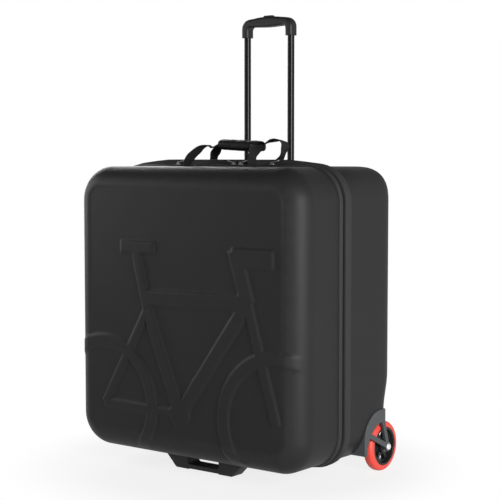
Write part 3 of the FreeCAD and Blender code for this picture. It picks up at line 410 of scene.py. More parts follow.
side_run, top_run = core_high - core_low, 2 * core_x
quarter_run = CORNER * math.pi / 2
case_corners = [(core_x, core_low, -90, side_run), (core_x, core_high, 0, top_run),
                (-core_x, core_high, 90, side_run), (-core_x, core_low, 180, 0.0)]
case_length = 4 * quarter_run + 2 * side_run + top_run


def case_spot(run):
    """The outline point, direction of travel and outward direction at a distance round the case."""
    for x, z, turn, straight in case_corners:
        angle = math.radians(turn) + min(run, quarter_run) / CORNER
        out = Vector((math.cos(angle), 0, math.sin(angle)))
        ahead = Vector((-out.z, 0, out.x))
        past = run - quarter_run
        if past <= straight + 1e-9:
            break
        run = past - straight
    place = Vector((x, seam_y, z)) + out * CORNER + ahead * max(0.0, past)
    return place, ahead, out


def level_rise(place):
    """The rise of a rim that stands equally tall at every place."""
    return 1.0


def crowned_rise(place):
    """How much taller the rear rim stands at a place than it does round the sides."""
    over_top = (core_x + RIM_REACH - abs(place.x)) / RIM_RUN if place.z > core_high else 0.0
    return 1 + RIM_CROWN * eased(over_top)


def case_stations(rise=level_rise):
    """Where a tape round the case is held: steps round each corner and along each straight run."""
    start = 0.0
    for *_, straight in case_corners:
        runs = [quarter_run * step / CASE_STEPS for step in range(CASE_STEPS + 1)]
        if straight:
            runs += [quarter_run + straight * step / STRAIGHT_STEPS for step in range(1, STRAIGHT_STEPS)]
        for run in runs:
            place, _, out = case_spot(start + run)
            yield place, Y_AXIS, out * rise(place)
        start += quarter_run + straight


def sweep(name, section, stations):
    """Draw a closed section along stations of (place, side axis, lift axis), and note each point's run."""
    piece = new_piece(name, bpy.ops.mesh.primitive_circle_add, vertices=len(section), fill_type="NGON")
    mesh = bmesh.from_edit_mesh(piece.data)
    for layer in ("along", "across"):
        mesh.verts.layers.float.new(layer)
    spot = mesh.verts.layers.int.new("spot")
    for index, vert in enumerate(mesh.verts):
        vert[spot] = index
    bmesh.update_edit_mesh(piece.data)
    bpy.ops.mesh.select_mode(type="EDGE")
    bpy.ops.mesh.select_all(action="SELECT")
    run, last = 0.0, None
    for place, side, lift in stations:
        if last:
            bpy.ops.mesh.extrude_edges_move()
            run += (place - last).length
        last = place
        mesh = bmesh.from_edit_mesh(piece.data)
        spot = mesh.verts.layers.int["spot"]
        along, across = (mesh.verts.layers.float[layer] for layer in ("along", "across"))
        for vert in mesh.verts:
            if vert.select:
                shift, rise = section[vert[spot]]
                vert.co = place + side * shift + lift * rise
                vert[along], vert[across] = run, shift * side.length + rise * lift.length
        bmesh.update_edit_mesh(piece.data)
    bpy.ops.mesh.edge_face_add()
    bpy.ops.mesh.select_all(action="SELECT")
    bpy.ops.mesh.normals_make_consistent(inside=False)
    return piece


def millimetres(section):
    """A section that is written in millimetres, in metres."""
    return [(shift / 1000, rise / 1000) for shift, rise in section]


def webbing(name, dark, light, pitch, flat=False):
    """Narrow woven tape whose threads follow its run, or lie along X and Y on a flat patch."""
    material = new_finish(name, light, TAPE_ROUGH, Specular_IOR_Level=TAPE_SPECULAR)
    if flat:
        place = add_node(material, "ShaderNodeTexCoord", {}).outputs["Object"]
    else:
        run = add_node(material, "ShaderNodeAttribute", {}, attribute_name="along").outputs["Fac"]
        cross = add_node(material, "ShaderNodeAttribute", {}, attribute_name="across").outputs["Fac"]
        place = add_node(material, "ShaderNodeCombineXYZ", {"X": run, "Y": cross}).outputs["Vector"]
    weave = threads(material, place, pitch)
    fibre = noise(material, place, TAPE_FIBRE)
    cloud = noise(material, place, TAPE_CLOUD)
    yarn = averaged(material, weave, fibre, TAPE_SHARE)
    colour = tinted(material, averaged(material, yarn, cloud, TAPE_SHARE), dark, light)
    wire(material, colour, ranged(material, cloud, TAPE_SMOOTHEST, TAPE_ROUGHEST), yarn, pitch / 4)
    return material


def strew(name, sample, spots):
    """Copy one small sample to many spots of (place, direction ahead, direction up), as one mesh."""
    corners = [vert.co.copy() for vert in sample.data.vertices]
    faces = [tuple(face.vertices) for face in sample.data.polygons]
    points, polygons = [], []
    for place, ahead, up in spots:
        across = up.cross(ahead)
        first = len(points)
        points += [place + ahead * corner.x + across * corner.y + up * corner.z for corner in corners]
        polygons += [tuple(first + index for index in face) for face in faces]
    mesh = bpy.data.meshes.new(name)
    mesh.from_pydata(points, [], polygons)
    piece = bpy.data.objects.new(name, mesh)
    bpy.context.collection.objects.link(piece)
    return piece


def small_block(name, length, width, height, place=(0, 0, 0), rounding=0.33, segments=1):
    """A little block with rounded edges; the rounding is a share of its least width."""
    block = new_piece(name, bpy.ops.mesh.primitive_cube_add, size=1, scale=(length, width, height),
                      location=place)
    bpy.ops.mesh.select_all(action="SELECT")
    bpy.ops.mesh.bevel(offset=rounding * min(length, width, height), segments=segments)
    bpy.ops.object.mode_set(mode="OBJECT")
    return block


binding_tape = webbing("binding_tape", BINDING_DARK, BINDING_LIGHT, TAPE_PITCH)
thread = new_finish("sewing_thread", THREAD_LIGHT, THREAD_ROUGH, Specular_IOR_Level=TAPE_SPECULAR)
thread_place = add_node(thread, "ShaderNodeTexCoord", {}).outputs["Object"]
thread_twist = noise(thread, thread_place, THREAD_TWIST)
wire(thread, tinted(thread, thread_twist, THREAD_DARK, THREAD_LIGHT), None, thread_twist, TWIST_DEPTH)

stitch = small_block("stitch", STITCH_LENGTH, STITCH_WIDTH, STITCH_WIDTH)
for body, node, profile, rows, rise in (
        ("case", "rear_rim_binding", REAR_BINDING, REAR_ROWS, crowned_rise),
        ("lid", "front_rim_binding", FRONT_BINDING, FRONT_ROWS, level_rise)):
    binding = sweep(f"{node}_tape", millimetres(profile), case_stations(rise))
    set_piece(binding, body, "binding", binding_tape, replaces=[node], angle=50)
    spots = []
    for behind, height in rows:
        for number in range(1, int(case_length / STITCH_PITCH)):
            place, ahead, out = case_spot(number * STITCH_PITCH)
            spots.append((place + Y_AXIS * behind + out * height * rise(place), ahead, out))
    set_piece(strew(f"{node}_stitches", stitch, spots), body, "binding", thread)

# Zip: two woven tapes sewn inside the bindings, each with a row of moulded teeth; the rows interlock
# along the seam. It opens along the sides and the top, and stops at both ends of the hinge.
TOOTH_PITCH, TOOTH_LENGTH, TOOTH_WIDTH, TOOTH_HEIGHT = 0.0030, 0.0017, 0.0030, 0.0022
TOOTH_RISE, TOOTH_SEAT = 0.0014, 0.001154
TOOTH_ROUGH, TOOTH_SMOOTHEST, TOOTH_ROUGHEST = 0.4, 0.34, 0.5
ZIP_PITCH, TOOTH_GRAIN, GRAIN_DEPTH = 0.0007, 0.001, 0.0001
ZIP_TAPE = [(0.3, 0.2), (0.3, 0.9), (2.2, 1.0), (4.4, 1.0), (4.4, 0.0), (2.2, -0.4), (2.2, -4), (0.6, -4)]
ZIP_DARK, ZIP_LIGHT = (0.005, 0.005, 0.006), (0.012, 0.012, 0.013)

zip_tape = webbing("zip_tape", ZIP_DARK, ZIP_LIGHT, ZIP_PITCH)
zip_teeth = new_finish("zip_teeth", ZIP_LIGHT, TOOTH_ROUGH, Specular_IOR_Level=TAPE_SPECULAR)
teeth_place = add_node(zip_teeth, "ShaderNodeTexCoord", {}).outputs["Object"]
teeth_grain = noise(zip_teeth, teeth_place, TOOTH_GRAIN)
wire(zip_teeth, tinted(zip_teeth, teeth_grain, ZIP_DARK, ZIP_LIGHT),
     ranged(zip_teeth, teeth_grain, TOOTH_SMOOTHEST, TOOTH_ROUGHEST), teeth_grain, GRAIN_DEPTH)

tooth = small_block("tooth", TOOTH_LENGTH, TOOTH_WIDTH, TOOTH_HEIGHT)
for body, node, sign in (("case", "rear_zip_half", 1), ("lid", "front_zip_half", -1)):
    section = [(sign * shift, rise) for shift, rise in ZIP_TAPE]
    tape = sweep(f"{node}_tape", millimetres(section), case_stations())
    set_piece(tape, body, "zip_nylon", zip_tape, replaces=[node], angle=50)
    offset = TOOTH_PITCH / 2 if sign > 0 else 0.0
    spots = []
    for number in range(1, int(case_length / TOOTH_PITCH)):
        place, ahead, out = case_spot(number * TOOTH_PITCH + offset)
        spots.append((place + Y_AXIS * (sign * TOOTH_SEAT) + out * TOOTH_RISE, ahead, out))
    set_piece(strew(f"{node}_teeth", tooth, spots), body, "zip_nylon", zip_teeth)
bpy.data.objects.remove(tooth)

# Hinge: one strip of heavy cloth sewn under both shells along the bottom. It is folded round a piping
# cord in the middle, and the lid turns about that cord; the fold runs out flat at both ends.
# Half of its section is given in millimetres, behind the seam and above the floor.
HINGE_HALF = [(30.2, 36.0), (22, 35.9), (14, 35.8), (9, 34.6), (5.6, 32.2), (4.2, 29.4), (3.4, 26.9),
              (1.8, 25.3), (0.0, 24.8)]
HINGE_CLOTH = 0.0014
HINGE_COLUMNS, HINGE_END = 48, 0.045
HINGE_FLAT, HINGE_ROW, HINGE_TURN, HINGE_PITCH = 0.084, 0.004, 0.004, 0.0012
HINGE_CORD_RADIUS, HINGE_CORD_Z, CORD_SIDES = 0.0029, 0.029, 16

hinge_line = HINGE_HALF + [(-y, z) for y, z in reversed(HINGE_HALF[:-1])]
hinge_top = HINGE_HALF[0][1]
hinge = new_piece("hinge_cloth", bpy.ops.mesh.primitive_grid_add, x_subdivisions=HINGE_COLUMNS,
                  y_subdivisions=len(hinge_line) - 1, size=2)
mesh = bmesh.from_edit_mesh(hinge.data)
along = mesh.verts.layers.float.new("along")
across = mesh.verts.layers.float.new("across")
for vert in mesh.verts:
    row = round((vert.co.y + 1) / 2 * (len(hinge_line) - 1))
    y, z = hinge_line[row]
    x = vert.co.x * core_x
    fold = 1 - eased((abs(x) - core_x + HINGE_END) / HINGE_END)
    vert.co = Vector((x, seam_y + y / 1000, (hinge_top + (z - hinge_top) * fold) / 1000))
    vert[along], vert[across] = x, HINGE_ROW * row
bmesh.update_edit_mesh(hinge.data)
bpy.ops.object.mode_set(mode="OBJECT")
apply_modifier(hinge, "SOLIDIFY", thickness=HINGE_CLOTH, offset=0)
apply_modifier(hinge, "SUBSURF", levels=1, render_levels=1)
set_piece(hinge, None, "webbing", webbing("hinge_webbing", BINDING_DARK, BINDING_LIGHT, HINGE_PITCH),
          replaces=["hinge_leaf_front", "hinge_leaf_rear"], angle=60)
hinge_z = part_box("hinge_leaf_rear")[0].z
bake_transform(hinge, "case", "lid", start=(0, seam_y + HINGE_TURN, hinge_z),
         end=(0, seam_y - HINGE_TURN, hinge_z))

cord_turns = [math.tau * side / CORD_SIDES for side in range(CORD_SIDES)]
cord_ring = [(HINGE_CORD_RADIUS * math.cos(turn), HINGE_CORD_RADIUS * math.sin(turn)) for turn in cord_turns]
cord_end = core_x - HINGE_END
cord_stations = [(Vector((x, seam_y, HINGE_CORD_Z)), Y_AXIS, Z_AXIS) for x in (-cord_end, 0, cord_end)]
set_piece(sweep("hinge_piping", cord_ring, cord_stations), "case", "webbing", binding_tape)

# Trolley guides: two aluminium tubes stand in a moulded base block on the tub's floor and end in a
# moulded bezel on its top; bushes in their mouths guide the handle, and pan-head screws hold all.
BLACK_DARK, BLACK_LIGHT = (0.008, 0.008, 0.009), (0.016, 0.016, 0.017)
ALUMINIUM, ALUMINIUM_DULL = (0.62, 0.63, 0.65), (0.50, 0.51, 0.53)
STEEL, STEEL_DULL = (0.55, 0.55, 0.56), (0.40, 0.40, 0.41)
PLASTIC_CLOUD, PIT_DEPTH = 0.03, 0.00006
MARK_SIZE, MARK_DEPTH = 0.002, 0.00003


def moulded_plastic(name, dark, light, smoothest, roughest, grain=0.0006, specular=0.3):
    """Injection-moulded plastic with a fine spark-eroded grain and cloudy gloss."""
    material = new_finish(name, light, roughest, Specular_IOR_Level=specular)
    place = add_node(material, "ShaderNodeTexCoord", {}).outputs["Object"]
    pits = noise(material, place, grain)
    cloud = noise(material, place, PLASTIC_CLOUD)
    wire(material, tinted(material, cloud, dark, light), ranged(material, cloud, smoothest, roughest),
         pits, PIT_DEPTH)
    return material


def worked_metal(name, colour, dull, smoothest, roughest, stretch=(1, 1, 1), metallic=1.0):
    """Metal with drawing or turning marks along one axis."""
    material = new_finish(name, colour, roughest, Metallic=metallic)
    place = add_node(material, "ShaderNodeTexCoord", {}).outputs["Object"]
    drawn = add_node(material, "ShaderNodeMapping", {"Vector": place, "Scale": stretch}).outputs["Vector"]
    marks = noise(material, drawn, MARK_SIZE)
    wire(material, tinted(material, marks, dull, colour), ranged(material, marks, smoothest, roughest),
         marks, MARK_DEPTH)
    return material


def dress(material, slot, *names):
    """Give CAD pieces whose shape is right their finish."""
    for name in names:
        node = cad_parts[name]
        node.data.materials.clear()
        node.data.materials.append(material)


black_plastic = moulded_plastic("black_plastic", BLACK_DARK, BLACK_LIGHT, 0.32, 0.45)
bare_aluminium = worked_metal("drawn_aluminium", ALUMINIUM, ALUMINIUM_DULL, 0.28, 0.42, (1, 1, 0.05))
screw_steel = worked_metal("screw_steel", STEEL, STEEL_DULL, 0.25, 0.4)
dress(bare_aluminium, "aluminium", "guide_tube_left", "guide_tube_right")
dress(black_plastic, "black_plastic", "guide_bushes", "trolley_base", "trolley_bezel", "slide_plugs")
dress(screw_steel, "steel", "trolley_base_screws", "trolley_bezel_screws", "foot_screws", "grip_screws")

# Trolley handle: two black anodised tubes slide in the guides and carry a grip moulded in two halves.
# The button in its top pushes a yoke and a rod down each tube.
ANODISED_DULL, ANODISED = (0.004, 0.004, 0.0045), (0.007, 0.007, 0.0075)
GRIP_DARK, GRIP_LIGHT = (0.010, 0.010, 0.011), (0.020, 0.020, 0.021)

anodised = moulded_plastic("black_anodising", ANODISED_DULL, ANODISED, 0.14, 0.2, 0.002, 0.15)
soft_touch = moulded_plastic("grip_plastic", GRIP_DARK, GRIP_LIGHT, 0.36, 0.5)
dress(anodised, "aluminium", "inner_tube_left", "inner_tube_right")
dress(soft_touch, "black_plastic", "grip_front_half", "grip_rear_half", "release_button")
dress(screw_steel, "steel", "release_rods")
dress(black_plastic, "black_plastic", "release_yoke")

# Wheel housings: grey plastic mouldings let into the lower corners of the tub, each with an arch over
# its wheel and a V-shaped arm that carries the outer end of the axle.
HOUSING_DARK, HOUSING_LIGHT = (0.055, 0.059, 0.062), (0.080, 0.085, 0.088)

housing_plastic = moulded_plastic("housing_plastic", HOUSING_DARK, HOUSING_LIGHT, 0.4, 0.55, 0.0009)
dress(housing_plastic, "grey_plastic", "wheel_housing_left", "wheel_housing_right")

# Wheels: a red polyurethane tyre cast on a spoked black core, which turns on two ball bearings with a
# spacer between them.
TYRE_DARK, TYRE_LIGHT = (0.74, 0.060, 0.040), (0.87, 0.088, 0.060)

tyre_red = new_finish("tyre_urethane", TYRE_LIGHT, 0.4, Subsurface_Weight=0.08, Subsurface_Scale=0.004)
tyre_place = add_node(tyre_red, "ShaderNodeTexCoord", {}).outputs["Object"]
tyre_cloud = noise(tyre_red, tyre_place, 0.02)
wire(tyre_red, tinted(tyre_red, tyre_cloud, TYRE_DARK, TYRE_LIGHT), ranged(tyre_red, tyre_cloud, 0.34, 0.5),
     noise(tyre_red, tyre_place, 0.0012), 0.00008)
core_plastic = moulded_plastic("wheel_plastic", BLACK_DARK, BLACK_LIGHT, 0.28, 0.4)
for hand in ("left", "right"):
    dress(tyre_red, "tyre_red", f"tyre_{hand}")
    dress(core_plastic, "black_plastic", f"wheel_core_{hand}")
    dress(screw_steel, "steel", f"bearings_{hand}", f"wheel_spacer_{hand}")

# Axle bolts: bright zinc-plated button-head bolts with a hexagon socket, screwed through the arm, the
# bearings and the spacer into the inner boss of the housing.
HEAD_RADIUS, HEAD_HEIGHT, HEAD_ROUNDING, HEAD_SIDES = 0.007, 0.004, 0.0028, 48
SOCKET_RADIUS, SOCKET_DEPTH = 0.0032, 0.0022
SHANK_RADIUS, SHANK_SIDES = 0.0039, 32
BOLT_BRIGHT, BOLT_DULL = (0.90, 0.90, 0.89), (0.78, 0.78, 0.78)


def joined(first, *others):
    """Make one object of several closed pieces."""
    bpy.ops.object.select_all(action="DESELECT")
    for piece in (first, *others):
        piece.select_set(True)
    bpy.context.view_layer.objects.active = first
    bpy.ops.object.join()
    return first


bolt_zinc = worked_metal("bolt_zinc", BOLT_BRIGHT, BOLT_DULL, 0.2, 0.32, metallic=0.35)
for hand, sign in (("left", -1), ("right", 1)):
    bolt_low, bolt_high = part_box(f"axle_bolt_{hand}")
    tip_x, inner_x = (bolt_high.x, bolt_low.x) if sign > 0 else (bolt_low.x, bolt_high.x)
    seat_x = tip_x - sign * HEAD_HEIGHT
    shank = new_piece("shank", bpy.ops.mesh.primitive_cylinder_add, vertices=SHANK_SIDES,
                      radius=SHANK_RADIUS, depth=abs(seat_x - inner_x),
                      location=((seat_x + inner_x) / 2, axle_y, axle_z), rotation=along_x)
    bpy.ops.object.mode_set(mode="OBJECT")
    bolt = new_piece(f"axle_bolt_{hand}_turned", bpy.ops.mesh.primitive_cylinder_add, vertices=HEAD_SIDES,
                     radius=HEAD_RADIUS, depth=HEAD_HEIGHT, location=((tip_x + seat_x) / 2, axle_y, axle_z),
                     rotation=along_x)
    mesh = bmesh.from_edit_mesh(bolt.data)
    bpy.ops.mesh.select_mode(type="EDGE")
    for edge in mesh.edges:
        edge.select_set(all(abs(vert.co.x - tip_x) < 1e-6 for vert in edge.verts))
    bmesh.update_edit_mesh(bolt.data)
    bpy.ops.mesh.bevel(offset=HEAD_ROUNDING, segments=6, profile=0.5)
    bpy.ops.object.mode_set(mode="OBJECT")
    drill(bolt, SOCKET_RADIUS, 2 * SOCKET_DEPTH, (tip_x, axle_y, axle_z), along_x, sides=6)
    set_piece(joined(bolt, shank), "case", "steel", bolt_zinc, replaces=[f"axle_bolt_{hand}"])

# Stand foot: a black moulding under the front shell with a finger gap, held from inside by two screws.
# Its two legs flare upwards, and the bar between them is lifted clear of the floor.
FOOT_WIDTH, FOOT_TAPER, FOOT_EDGE = 0.230, 0.036, 0.0035
FOOT_GAP, FOOT_BAR_LOW, FOOT_BAR_HIGH, FOOT_PLATE = 0.088, 0.0025, 0.0115, 0.004
GAP_ROUNDING, FOOT_SEGMENTS = 0.28, 4
FOOT_DARK, FOOT_LIGHT = (0.020, 0.020, 0.021), (0.036, 0.036, 0.038)

foot_low, foot_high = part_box("stand_foot")
foot_size, foot_middle = foot_high - foot_low, (foot_low + foot_high) / 2
foot = new_piece("stand_foot_moulding", bpy.ops.mesh.primitive_cube_add, size=1,
                 location=(0, foot_middle.y, foot_middle.z), scale=(FOOT_WIDTH, foot_size.y, foot_size.z))
mesh = bmesh.from_edit_mesh(foot.data)
for vert in mesh.verts:
    if vert.co.z < foot_middle.z:
        vert.co.x -= math.copysign(FOOT_TAPER, vert.co.x)
bmesh.update_edit_mesh(foot.data)
bpy.ops.mesh.select_all(action="SELECT")
bpy.ops.mesh.bevel(offset=FOOT_EDGE, segments=FOOT_SEGMENTS)
bpy.ops.object.mode_set(mode="OBJECT")
for low, high in ((FOOT_BAR_HIGH, foot_size.z - FOOT_PLATE), (-FOOT_BAR_LOW, FOOT_BAR_LOW)):
    gap_place = (0, foot_middle.y, foot_low.z + (low + high) / 2)
    cut_away(foot, small_block("foot_gap", FOOT_GAP, 2 * foot_size.y, high - low, gap_place,
                               GAP_ROUNDING, FOOT_SEGMENTS))
foot_plastic = moulded_plastic("foot_plastic", FOOT_DARK, FOOT_LIGHT, 0.45, 0.6, 0.0009)
set_piece(foot, "lid", "grey_plastic", foot_plastic, replaces=["stand_foot"])

# Carry handles: two loops of webbing sewn with a box and cross to patches on the top of each shell.
# They lean over the zip to each other, slack and a little crumpled. Their points are
# (x, behind the seam, above the top, width) in millimetres.
STRAP_DARK, STRAP_LIGHT = (0.006, 0.006, 0.0065), (0.020, 0.020, 0.021)
STRAP_THICK, STRAP_STEPS = 0.0024, 5
CRUMPLE_TWIST, CRUMPLE_SIZE = 0.45, 0.021
FRONT_LOOP = [(-84, -30, 2.4, 27), (-83, -29, 9, 27), (-75, -20, 25, 27), (-63, -5, 40, 24),
              (-54, 6, 45, 21), (-46, 16, 43, 19), (-36, 28, 46, 18), (-18, 33, 48, 17),
              (14, 34, 48.5, 17), (46, 34, 47.5, 17), (62, 33, 46.5, 19), (71, 27, 46, 24),
              (80, 10, 41, 27), (89, -12, 30, 26), (97, -27, 12, 27), (99, -30, 2.4, 28)]
REAR_LOOP = [(-88, 67, 2.4, 27), (-87, 66.5, 9, 27), (-79, 63, 25, 27), (-67, 58, 40, 25),
             (-53, 55, 46.5, 21), (-36, 54, 48.5, 18), (14, 54, 49, 17), (56, 54, 48, 18),
             (72, 54, 50, 21), (88, 57, 56, 26), (104, 60, 58, 28), (116, 63, 52, 28),
             (118, 65, 40, 28), (110, 66, 24, 28), (97, 67, 9, 27), (94, 67, 2.4, 27)]
STRAP_HALF = [(-0.5, 0), (-0.47, 0.5), (-0.25, 0.5), (0, 0.5), (0.25, 0.5), (0.47, 0.5)]
ROOT_LOW, ROOT_HIGH = 0.0036, 0.0135
ANCHOR_LENGTH, ANCHOR_WIDTH, PATCH_THICK = 0.046, 0.030, 0.0015
PATCH_ROUNDING, STRAP_PITCH = 0.4, 0.0015
TAIL_LENGTH, TAIL_WIDTH, SEWN_INSET = 0.042, 0.026, 0.004

case_top = rear_high.z
strap_webbing = webbing("strap_webbing", STRAP_DARK, STRAP_LIGHT, STRAP_PITCH)
patch_webbing = webbing("patch_webbing", STRAP_DARK, STRAP_LIGHT, STRAP_PITCH, flat=True)


def smooth_run(points, steps):
    """Points on a smooth curve through chosen ones, each a tuple of equal length."""
    padded = [points[0], *points, points[-1]]
    for before, start, end, after in zip(padded, padded[1:], padded[2:], padded[3:]):
        for step in range(steps):
            t = step / steps
            yield tuple(0.5 * (2 * b + (c - a) * t + (2 * a - 5 * b + 4 * c - d) * t * t
                               + (3 * b - a - 3 * c + d) * t ** 3)
                        for a, b, c, d in zip(before, start, end, after))
    yield points[-1]


def strap_stations(points):
    """Stations of a strap, with a slight uneven twist."""
    run = [(Vector((x, 1000 * seam_y + y, 1000 * case_top + z)) / 1000, width / 1000)
           for x, y, z, width in smooth_run(points, STRAP_STEPS)]
    for index, (place, width) in enumerate(run):
        ahead = (run[min(index + 1, len(run) - 1)][0] - run[max(index - 1, 0)][0]).normalized()
        side = (Y_AXIS - ahead * Y_AXIS.dot(ahead)).normalized()
        side += ahead.cross(side) * CRUMPLE_TWIST * ripples.noise(place / CRUMPLE_SIZE)
        side.normalize()
        yield place, side * width, ahead.cross(side)


def strap_section(thickness):
    """A flat section one wide, with rounded edges."""
    whole = STRAP_HALF + [(-shift, -rise) for shift, rise in STRAP_HALF]
    return [(shift, rise * thickness) for shift, rise in whole]


def sewn_line(start, end, up):
    """Stitches laid end to end between two points, with up as the direction off the cloth."""
    run = end - start
    number = int(run.length / STITCH_PITCH)
    for step in range(number):
        yield start + run * ((step + 0.5) / number), run.normalized(), up


anchor = small_block("anchor", ANCHOR_LENGTH, ANCHOR_WIDTH, PATCH_THICK, (0, 0, PATCH_THICK / 2),
                     PATCH_ROUNDING, segments=2)
tail = small_block("tail", TAIL_LENGTH, TAIL_WIDTH, PATCH_THICK, (0, 0, 1.5 * PATCH_THICK),
                   PATCH_ROUNDING, segments=2)
anchor = joined(anchor, tail)
for body, carrier, end, points in (("front_handle", "lid", "front", FRONT_LOOP),
                                   ("rear_handle", "case", "rear", REAR_LOOP)):
    strap = sweep(f"{end}_handle_webbing", strap_section(STRAP_THICK), strap_stations(points))
    set_piece(strap, None, "webbing", strap_webbing, replaces=[f"{end}_handle_strap"], angle=50)
    root_y = seam_y + points[0][1] / 1000
    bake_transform(strap, carrier, body, start=(0, root_y, case_top + ROOT_LOW),
             end=(0, root_y, case_top + ROOT_HIGH))
    anchors_low, anchors_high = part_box(f"{end}_handle_anchors")
    patch_x, patch_y = anchors_high.x - ANCHOR_LENGTH / 2, (anchors_low.y + anchors_high.y) / 2
    patch_spots, sewn_spots = [], []
    for sign in (-1, 1):
        middle = Vector((sign * patch_x, patch_y, case_top))
        patch_spots.append((middle, X_AXIS, Z_AXIS))
        sewn = middle + Z_AXIS * 2 * PATCH_THICK
        reach_x, reach_y = X_AXIS * (TAIL_LENGTH / 2 - SEWN_INSET), Y_AXIS * (TAIL_WIDTH / 2 - SEWN_INSET)
        corners = [sewn + reach_x + reach_y, sewn - reach_x + reach_y, sewn - reach_x - reach_y,
                   sewn + reach_x - reach_y]
        for first, second in ((0, 1), (1, 2), (2, 3), (3, 0), (0, 2), (1, 3)):
            sewn_spots += sewn_line(corners[first], corners[second], Z_AXIS)
    set_piece(strew(f"{end}_handle_patches", anchor, patch_spots), carrier, "webbing", patch_webbing,
              replaces=[f"{end}_handle_anchors"])
    set_piece(strew(f"{end}_handle_stitches", stitch, sewn_spots), carrier, "webbing", thread)
bpy.data.objects.remove(anchor)

# Grip wrap: a padded sleeve of the facing cloth round the front loop. Its flap closes over the rear loop
# with hook-and-loop tape, and it has slid a little to the right along the loops.
WRAP_SLIP, WRAP_SHORT, WRAP_DROP, WRAP_TILT = 0.015, 0.006, 0.0025, -0.045
WRAP_HALF_DEPTH, WRAP_HALF_HEIGHT, WRAP_SQUARE = 0.0205, 0.0112, 0.72
WRAP_RUN, WRAP_ROUND, WRAP_PINCH = 36, 60, 0.10
WRAP_FLAP, FLAP_START, FLAP_RAMP, FLAP_EDGE = 0.0015, 0.6, 0.8, math.radians(204)
WRAP_PUCKER, WRAP_PUCKER_SIZE = 0.0011, 0.013
MOUTH_RINGS = ((0.80, 0.0015), (0.78, 0.010))
HEM_INSET, HEM_TURN, HEM_AHEAD, WRAP_PITCH = 0.045, math.radians(4.6), 0.01, 0.0014

wrap_low, wrap_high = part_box("grip_wrap")
wrap_core = (wrap_low + wrap_high) / 2 + Vector((WRAP_SLIP, 0, -WRAP_DROP))
wrap_length = wrap_high.x - wrap_low.x - WRAP_SHORT


def wrap_centre(along):
    """The middle of the wrap's section at a share of its length."""
    aside = (along - 0.5) * wrap_length
    return wrap_core + Vector((aside, 0, WRAP_TILT * aside))


def wrap_point(along, angle):
    """A point of the wrap's surface; the angle runs from the back over the top to the front."""
    swell = 1 - WRAP_PINCH * (2 * along - 1) ** 6
    flap = WRAP_FLAP * eased((angle - FLAP_START) / FLAP_RAMP) if angle < FLAP_EDGE else 0.0
    lean, climb = math.cos(angle), math.sin(angle)
    out = Vector((0, math.copysign(abs(lean) ** WRAP_SQUARE, lean) * WRAP_HALF_DEPTH,
                  math.copysign(abs(climb) ** WRAP_SQUARE, climb) * WRAP_HALF_HEIGHT))
    place = wrap_centre(along) + out * swell
    pucker = WRAP_PUCKER * ripples.noise(place / WRAP_PUCKER_SIZE)
    return place + Vector((0, lean, climb)) * (flap + pucker)


wrap = new_piece("grip_wrap_pad", bpy.ops.mesh.primitive_grid_add, x_subdivisions=WRAP_RUN,
                 y_subdivisions=WRAP_ROUND, size=2)
mesh = bmesh.from_edit_mesh(wrap.data)
for vert in mesh.verts:
    vert.co = wrap_point((vert.co.x + 1) / 2, math.pi * (vert.co.y + 1))
bmesh.update_edit_mesh(wrap.data)
bpy.ops.mesh.select_all(action="SELECT")
bpy.ops.mesh.remove_doubles(threshold=1e-5)
bpy.ops.mesh.region_to_loop()
for shrink, push in MOUTH_RINGS:
    bpy.ops.mesh.extrude_edges_move()
    mesh = bmesh.from_edit_mesh(wrap.data)
    for vert in mesh.verts:
        if vert.select:
            far = vert.co.x > wrap_core.x
            middle = wrap_centre(1.0 if far else 0.0)
            vert.co.x += -push if far else push
            vert.co.y = middle.y + (vert.co.y - middle.y) * shrink
            vert.co.z = middle.z + (vert.co.z - middle.z) * shrink
    bmesh.update_edit_mesh(wrap.data)
bpy.ops.mesh.select_all(action="SELECT")
bpy.ops.mesh.fill_holes(sides=0)
bpy.ops.mesh.select_all(action="SELECT")
bpy.ops.mesh.normals_make_consistent(inside=False)
bpy.ops.uv.cube_project(cube_size=1)
wrap_cloth = shell_fabric("wrap_cloth", STRAP_DARK, STRAP_LIGHT, FABRIC_WORN, WRAP_PITCH)
set_piece(wrap, "front_handle", "webbing", wrap_cloth, replaces=["grip_wrap"])

hem_spots = []
for along in (HEM_INSET, 1 - HEM_INSET):
    angle = FLAP_START
    while angle < FLAP_EDGE - HEM_TURN:
        place = wrap_point(along, angle)
        ahead = (wrap_point(along, angle + HEM_TURN) - place).normalized()
        hem_spots.append((place, ahead, ahead.cross(X_AXIS).normalized()))
        angle += HEM_TURN
hem_edge = FLAP_EDGE - 2 * HEM_TURN
hem_up = Vector((0, math.cos(hem_edge), math.sin(hem_edge)))
for step in range(1, int(wrap_length / STITCH_PITCH) - 1):
    along = (step + 0.5) * STITCH_PITCH / wrap_length
    place = wrap_point(along, hem_edge)
    ahead = (wrap_point(along + HEM_AHEAD, hem_edge) - place).normalized()
    hem_spots.append((place, ahead, hem_up))
set_piece(strew("grip_wrap_stitches", stitch, hem_spots), "front_handle", "webbing", thread)

# Zip sliders: four die-cast bodies with two ears, which run on the rows of teeth along the top. Each has
# a flat metal pull that turns on a cross pin between the ears.
PULL_METAL, PULL_DULL = (0.36, 0.36, 0.37), (0.24, 0.24, 0.25)

slider_metal = worked_metal("slider_metal", PULL_METAL, PULL_DULL, 0.36, 0.50)
for place in ("far_left", "left", "right", "far_right"):
    dress(slider_metal, "zip_metal", f"zip_slider_{place}", f"zip_pull_{place}")

